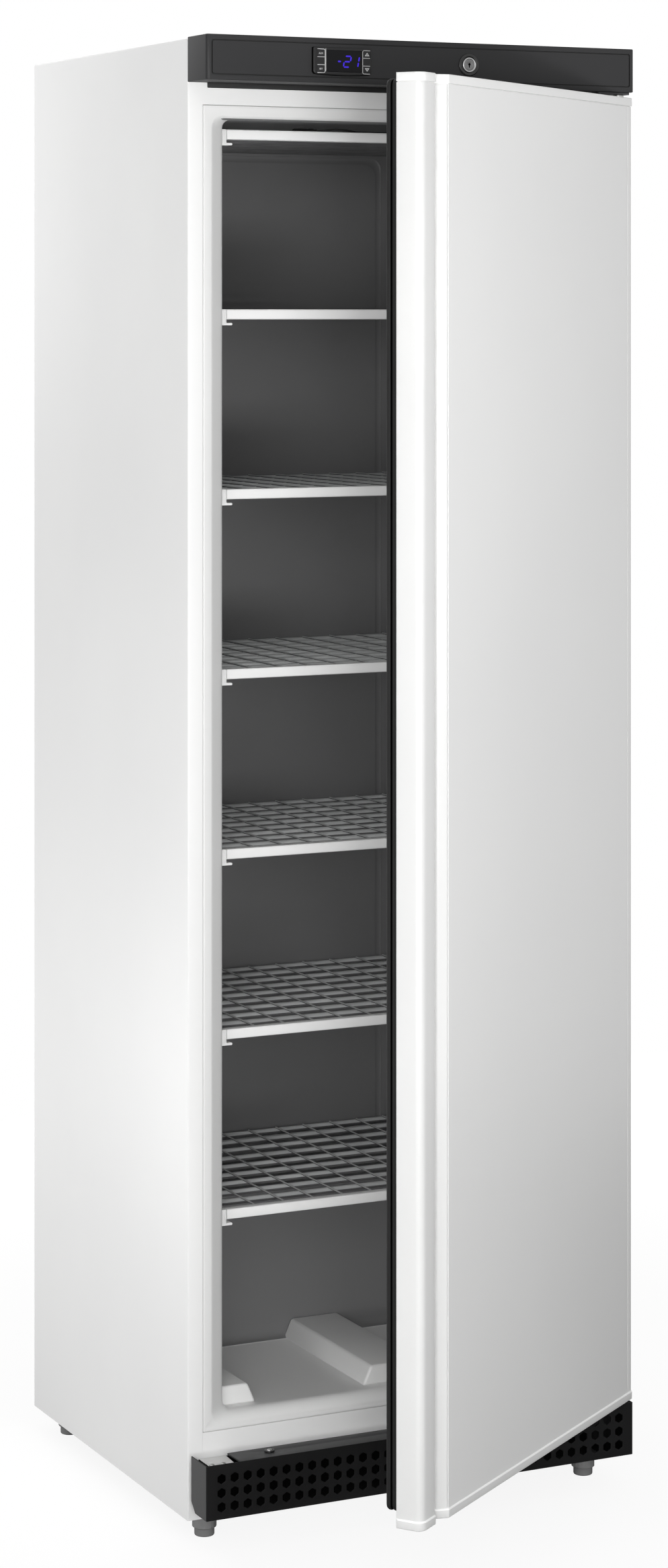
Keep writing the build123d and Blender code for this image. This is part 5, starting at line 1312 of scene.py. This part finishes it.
# base: two rails on the feet, black for the painted shade behind the grille, a level sheet between them and the
# compressor's lower shelf
base = {
    "low": 26.5, "top": 62.0, "inner": 244.0, "outer": 298.9, "niche": 330.0, "back": 520.9, "shelf": 42.0,
    "sheet": 2.0,
}
baseParts = []
for side in (-1, 1):
    low, high = sorted((side * base["inner"], side * base["outer"]))
    rail = addBlock("rail", at(low, 1.1, base["low"]), at(high, base["back"], base["top"]))
    for deep in (foot["front"], foot["rear"]):
        cutWith(rail, addRod("footHole", (side * foot["across"], deep), 5.25, base["low"] - 3, 53.0, alongZ, 24))
    baseParts.append(paint(softenEdges(rail, 1.6, 2, 50), "base"))
for low, high in (
    ((-244.5, 1.5, base["top"] - base["sheet"]), (244.5, base["niche"], base["top"])),
    ((-244.5, base["niche"] - base["sheet"], base["shelf"] - base["sheet"]), (244.5, base["niche"], base["top"] - 0.1)),
    ((-244.5, base["niche"] - base["sheet"], base["shelf"] - base["sheet"]), (244.5, base["back"], base["shelf"])),
):
    baseParts.append(paint(softenEdges(addBlock("baseSheet", at(*low), at(*high)), 0.4, 1), "galvanised"))
gland = {"place": (-205.0, 78.0), "body": 8.0}
glandBracket = addBlock("glandBracket", at(-227.0, 519.0, 41.0), at(-183.0, base["back"], 94.0))
cutWith(glandBracket, addRod("glandHole", gland["place"], gland["body"] + 0.1, 510, 530, alongY))
baseParts.append(paint(softenEdges(glandBracket, 0.4, 1, 50), "galvanised"))
# painted shade: a black sheet and shelf that close the corner behind the grille's right end
cornerShadeSheet = addBlock("cornerShadeSheet", at(262.0, -2.4, 27.5), at(298.5, -0.3, 100.5))
cornerShadeFloor = addBlock("cornerShadeFloor", at(262.0, -54.2, 43.0), at(298.5, -3.0, 44.0))
for part in (cornerShadeSheet, cornerShadeFloor):
    baseParts.append(paint(softenEdges(part, 0.3, 1, 50), "base"))
dress(joinPieces("baseFrame", baseParts), None, "base_frame")

# compressor: pressed foot plate, two domes and the weld belt between them
compressor = {
    "place": (70.0, 428.0), "plate": (83.0, 75.0), "low": 56.0, "bottom": 59.0, "radius": 72.0, "top": 207.0,
    "dome": 43.0,
}
centreX, centreY = compressor["place"]
x, y = compressor["plate"]
plate = roundedBox(centreX - x, centreX + x, centreY - y, centreY + y, 13.0, 6)
footPlate = addProfile("footPlate", plate, alongZ, compressor["low"], compressor["bottom"])
compressorParts = [softenEdges(footPlate, 0.7, 2, 50)]
profile = [
    (30.0, 58.5), (58.0, 58.6), (66.0, 60.2), (70.2, 63.6), (71.7, 68.0), (72.0, 74.0), (72.0, 128.2), (72.4, 128.9),
    (74.4, 129.1), (75.0, 129.6), (75.0, 134.4), (74.4, 134.9), (72.2, 135.1), (71.8, 136.2), (71.8, 164.0),
]
domeRadius, domeHeight = compressor["radius"] - compressor["dome"], compressor["top"] - compressor["dome"] - 0.1
round_ = compressor["dome"] - 0.2
for step in range(1, 13):
    angle = math.radians(90 * step / 12)
    profile.append((domeRadius + round_ * math.cos(angle), domeHeight + round_ * math.sin(angle)))
profile += [(18.0, 206.9), (6.0, 206.9)]
compressorParts.append(addTurned("domes", compressor["place"], profile, alongZ, 64))
for part in compressorParts:
    paint(part, "compressor")
# the charging stub, pinched shut
stub = [at(36, 492, 96), at(30, 504, 97), at(22, 512, 104), at(18, 515, 118)]
compressorParts.append(paint(tubeAlong("chargingStub", stub, 3.0, 12), "copper"))
dress(joinPieces("compressor", compressorParts), None, "compressor")
mountProfile = [
    (10.5, 42.0), (12.6, 42.6), (13.0, 44.0), (12.2, 46.5), (10.6, 48.2), (10.6, 50.0), (12.2, 51.6), (13.0, 53.4),
    (12.6, 55.4), (10.5, 56.0),
]
mounts = []
for across in (-70.0, 70.0):
    for along in (-62.0, 62.0):
        mounts.append(addTurned("mount", (centreX + across, centreY + along), mountProfile))
dress(joinPieces("compressorMounts", mounts), "rubber", "compressor_mounts")

relay = {
    "left": -36.0, "right": 4.2, "half": 30, "low": 89.0, "high": 153.0, "ribHalf": 22,
    "ribs": (99.0, 108.0, 134.0, 143.0),
}
near, far = centreY - relay["half"], centreY + relay["half"]
outline = roundedBox(relay["left"], relay["right"], near, far, (5.0, 5.0, 0.4, 0.4), 4)
cover = addProfile("relayCover", outline, alongZ, relay["low"], relay["high"])
cutWith(cover, addRod("compressorGap", compressor["place"], 72.3, 80, 160, alongZ, 96))
cutWith(cover, addRod("beltGap", compressor["place"], 75.3, 128.6, 135.4, alongZ, 96))
relayParts = [softenEdges(cover, 1.2, 3, 45)]
near, far = centreY - relay["ribHalf"], centreY + relay["ribHalf"]
for height in relay["ribs"]:
    rib = addBlock("relayRib", at(relay["left"], near, height), at(relay["left"] + 1.1, far, height + 2.0))
    relayParts.append(softenEdges(rib, 0.3, 1))
dress(joinPieces("relayCover", relayParts), "rubber", "relay_cover")

# evaporation tray: thin walls with a rolled rim
tray = {
    "halfX": 95.0, "halfY": 65.0, "corner": 13.0,
    # inset and height, up the outside and down the inside
    "steps": [
        (7.5, 207.1), (5.5, 207.4), (4.3, 208.6), (3.8, 210.5), (2.2, 236.5), (1.6, 237.4), (0.3, 237.7), (0, 238.4),
        (0, 240.2), (0.5, 240.9), (2.6, 241.0), (3.6, 240.4), (4.0, 238.5), (5.6, 211.5), (6.4, 209.8), (8.5, 209.0),
    ],
}
loops = []
for inset, height in tray["steps"]:
    x, y = tray["halfX"] - inset, tray["halfY"] - inset
    ring = roundedBox(centreX - x, centreX + x, centreY - y, centreY + y, tray["corner"] - 0.6 * inset, 6)
    loops.append([at(u, v, height) for u, v in ring])
dress(smooth(addLoft("evaporationTray", loops), 35), "tray", "evaporation_tray")

# filter drier with its spun ends, and the copper lines
drier = [
    (3.1, 110.0), (3.3, 111.5), (4.6, 114.0), (7.2, 117.6), (9.2, 121.6), (9.9, 126.0), (10.0, 130.0), (10.0, 200.0),
    (9.9, 204.0), (9.2, 208.4), (7.2, 212.4), (4.6, 216.0), (3.3, 218.5), (3.1, 220.0),
]
dress(addTurned("filterDrier", (-228.0, 480.0), drier, alongZ, 40), "copper", "filter_drier")


def bendRoute(corners, reach, steps=7):
    # a pipe's route with its corners bent
    line = [Vector(corners[0])]
    for before, corner, after in zip(corners, corners[1:], corners[2:]):
        before, corner, after = Vector(before), Vector(corner), Vector(after)
        start = corner + (before - corner).normalized() * reach
        end = corner + (after - corner).normalized() * reach
        for step in range(steps + 1):
            part = step / steps
            line.append(start * (1 - part) ** 2 + corner * 2 * part * (1 - part) + end * part**2)
    line.append(Vector(corners[-1]))
    return [at(*point) for point in line]


condenser = {
    "runs": 23, "pitch": 60.0, "half": 185.0, "low": 360.0, "high": 1680.0, "line": 538.2, "tube": 2.5,
    "wires": 34, "wirePitch": 11.0, "wire": 0.85, "outerWires": 541.1, "innerWires": 535.0,
}
lines = [
    [(142.0, 428.0, 100.0), (226.0, 428.0, 100.0), (226.0, 538.2, 100.0), (226.0, 538.2, 360.0), (185.0, 538.2, 360.0)],
    [(142.0, 428.0, 170.0), (185.0, 428.0, 170.0), (185.0, 428.0, 289.0)],
    [
        (-185.0, 538.2, 1680.0), (-228.0, 538.2, 1680.0), (-228.0, 538.2, 246.0), (-228.0, 480.0, 246.0),
        (-228.0, 480.0, 220.0),
    ],
    [(-228.0, 480.0, 110.0), (-228.0, 480.0, 84.0), (-228.0, 356.0, 84.0), (-228.0, 356.0, 289.0)],
]
pipes = [tubeAlong("line", bendRoute(line, 9.5), 3.0, 14) for line in lines]
dress(joinPieces("refrigerantLines", pipes), "copper", "refrigerant_lines")

condenserPath = windingPath(condenser["runs"], condenser["pitch"], condenser["half"], condenser["low"], 1, 10)
condenserParts = [tubeAlong("tube", [at(x, condenser["line"], z) for x, z in condenserPath], condenser["tube"], 10)]
for deep in (condenser["outerWires"], condenser["innerWires"]):
    for number in range(condenser["wires"]):
        across = (number - (condenser["wires"] - 1) / 2) * condenser["wirePitch"]
        ends = [at(across, deep, condenser["low"] - 1.5), at(across, deep, condenser["high"] + 1.5)]
        condenserParts.append(tubeAlong("wire", ends, condenser["wire"], 6))
dress(joinPieces("rearCondenser", condenserParts), "condenser", "rear_condenser")

# gland with an open bore, and the screws round the back panel
glandProfile = [
    (4.3, 509.0), (7.4, 508.6), (8.0, 509.2), (8.0, 521.05), (11.6, 521.1), (12.0, 521.6), (12.0, 523.0), (11.4, 523.5),
    (8.6, 523.5), (7.2, 522.9), (4.9, 522.6), (4.3, 522.0), (4.3, 509.0),
]
turns = [(math.cos(math.pi * k / 20), math.sin(math.pi * k / 20)) for k in range(40)]
x, z = gland["place"]
loops = [[at(x + radius * u, deep, z + radius * v) for u, v in turns] for radius, deep in glandProfile]
dress(smooth(closeMesh(addLoft("cableGland", loops, caps=False)), 40), "rubber", "cable_gland")
screwProfile = [(3.8, 521.9), (3.8, 522.3), (3.4, 523.2), (2.2, 523.9), (0.6, 524.1)]
panelScrews = []
for x in (-286.0, 286.0):
    for z in (310.0, 650.0, 990.0, 1330.0, 1670.0, 1815.0):
        screw = addTurned("panelScrew", (x, z), screwProfile, alongY, 20)
        panelScrews.append(cutBlock(screw, "slot", (x - 2.2, 523.3, z - 0.4), (x + 2.2, 526, z + 0.4)))
dress(joinPieces("panelScrews", panelScrews), "steel")
print("base, compressor and condenser made")

# CAD nodes that stay in view, with their finish and slot
for nodeName, finish, slot in (
    ("back_panel", "galvanised", "galvanised"),
    ("thermostat_housing", "control", "control_black"),
    ("lock_nut", "steel", "steel"),
    ("lock_cam", "steel", "steel"),
    ("door_foam", "foam", "foam"),
    ("hinge_bushes", "bush", "bush_white"),
    ("lock_keeper", "bush", "bush_white"),
    ("condenser_brackets", "condenser", "condenser_black"),
):
    paint(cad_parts[nodeName], finish)
print("CAD nodes dressed")

# camera, floor and light
view = {"x": -2.0638, "y": -4.0581, "z": 1.5068, "turn": -25.817, "lens": 82.64, "sensor": 36, "shift": -0.2984}
camera = bpy.data.cameras.new("camera")
cameraObject = bpy.data.objects.new("camera", camera)
bpy.context.scene.collection.objects.link(cameraObject)
cameraObject.location = (view["x"], frontY / 1000 + view["y"], view["z"])
cameraObject.rotation_euler = (math.radians(90), 0, math.radians(view["turn"]))
camera.lens, camera.sensor_width, camera.shift_y = view["lens"], view["sensor"], view["shift"]
bpy.context.scene.camera = cameraObject

# reach of the shadow and of the plain floor, and how bright each is; glow and ambient light the background
stage = {
    "size": 4.4, "near": 0.9, "far": 2.4, "white": 0.9, "bounce": 0.25, "shadow": 0.86, "glow": 1.04, "ambient": 0.46,
}

clearSelection()
bpy.ops.mesh.primitive_plane_add(size=stage["size"], location=(0, 0, 0))
floor = bpy.context.object
floor.name = "studioFloor"


def makeFloorFinish():
    # the floor takes the shadow near the object and is plain white further out
    material = bpy.data.materials.new("studioFloorWhite")
    material.use_nodes = True
    tree = material.node_tree
    tree.nodes.clear()
    painted = addNode(tree, "BsdfDiffuse", {"Color": (*(stage["white"],) * 3, 1)})
    dimmed = addNode(tree, "BsdfDiffuse", {"Color": (*(stage["bounce"],) * 3, 1)})
    lit = addNode(tree, "Emission", {"Color": (1, 1, 1, 1), "Strength": stage["glow"]})
    distance = addNode(tree, "VectorMath", {0: addNode(tree, "TexCoord").outputs["Object"]}, operation="LENGTH")
    fade = addNode(tree, "MapRange", {
        "From Min": stage["near"], "From Max": stage["far"], "To Min": stage["shadow"], "To Max": 1.0,
        "Value": distance.outputs["Value"],
    }, interpolation_type="SMOOTHSTEP")
    seen = addNode(tree, "MixShader", {"Fac": fade, 1: painted, 2: lit})
    isCamera = addNode(tree, "LightPath").outputs["Is Camera Ray"]
    addNode(tree, "OutputMaterial", {"Surface": addNode(tree, "MixShader", {"Fac": isCamera, 1: dimmed, 2: seen})})
    return material


floor.data.materials.append(makeFloorFinish())

world = bpy.data.worlds.new("studio")
bpy.context.scene.world = world
world.use_nodes = True
tree = world.node_tree
tree.nodes.clear()
rays = addNode(tree, "LightPath").outputs
seen = addNode(tree, "Math", {0: rays["Is Camera Ray"], 1: rays["Is Glossy Ray"]}, operation="MAXIMUM")
seen = addNode(tree, "Math", {0: seen, 1: rays["Is Transmission Ray"]}, operation="MAXIMUM")
ambient = addNode(tree, "Background", {"Color": (1, 1, 1, 1), "Strength": stage["ambient"]})
white = addNode(tree, "Background", {"Color": (1, 1, 1, 1), "Strength": 1.0})
addNode(tree, "OutputWorld", {"Surface": addNode(tree, "MixShader", {"Fac": seen, 1: ambient, 2: white})})

lamps = {
    "keyLamp": {"place": (-1.9, -3.2, 1.4), "aim": (0, 0, 1.2), "size": (1.5, 1.5), "power": 44, "spread": 180},
    "frontLamp": {"place": (0.1, -4.0, 0.9), "aim": (0, 0, 1.0), "size": (1.5, 1.0), "power": 17, "spread": 180},
    "riseLamp": {"place": (-0.9, -3.2, 0.7), "aim": (0, 0, 1.85), "size": (0.8, 0.4), "power": 5.6, "spread": 65},
    "lowLamp": {"place": (-2.4, -2.1, 0.25), "aim": (-0.2, 0, 0.1), "size": (0.8, 0.3), "power": 1.6, "spread": 70},
    "toeLamp": {"place": (-0.9, -3.0, 0.15), "aim": (0, 0, 0.12), "size": (1.0, 0.25), "power": 0.7, "spread": 40},
    "sideLamp": {"place": (-2.0, 1.3, 0.15), "aim": (-0.3, 0.1, 0.4), "size": (1.2, 0.25), "power": 4.2, "spread": 90},
    "backLamp": {"place": (-0.8, 3.6, 2.6), "aim": (0, 0, 0.9), "size": (2.5, 2.5), "power": 50, "spread": 180},
}
for lampName, values in lamps.items():
    lamp = bpy.data.lights.new(lampName, "AREA")
    lamp.shape = "RECTANGLE"
    lamp.size, lamp.size_y = values["size"]
    lamp.energy = values["power"]
    lamp.spread = math.radians(values["spread"])
    lampObject = bpy.data.objects.new(lampName, lamp)
    bpy.context.scene.collection.objects.link(lampObject)
    lampObject.location = values["place"]
    direction = Vector(values["aim"]) - Vector(values["place"])
    lampObject.rotation_euler = direction.to_track_quat("-Z", "Y").to_euler()

bpy.context.scene.view_settings.view_transform = "Standard"
print("camera and light set")
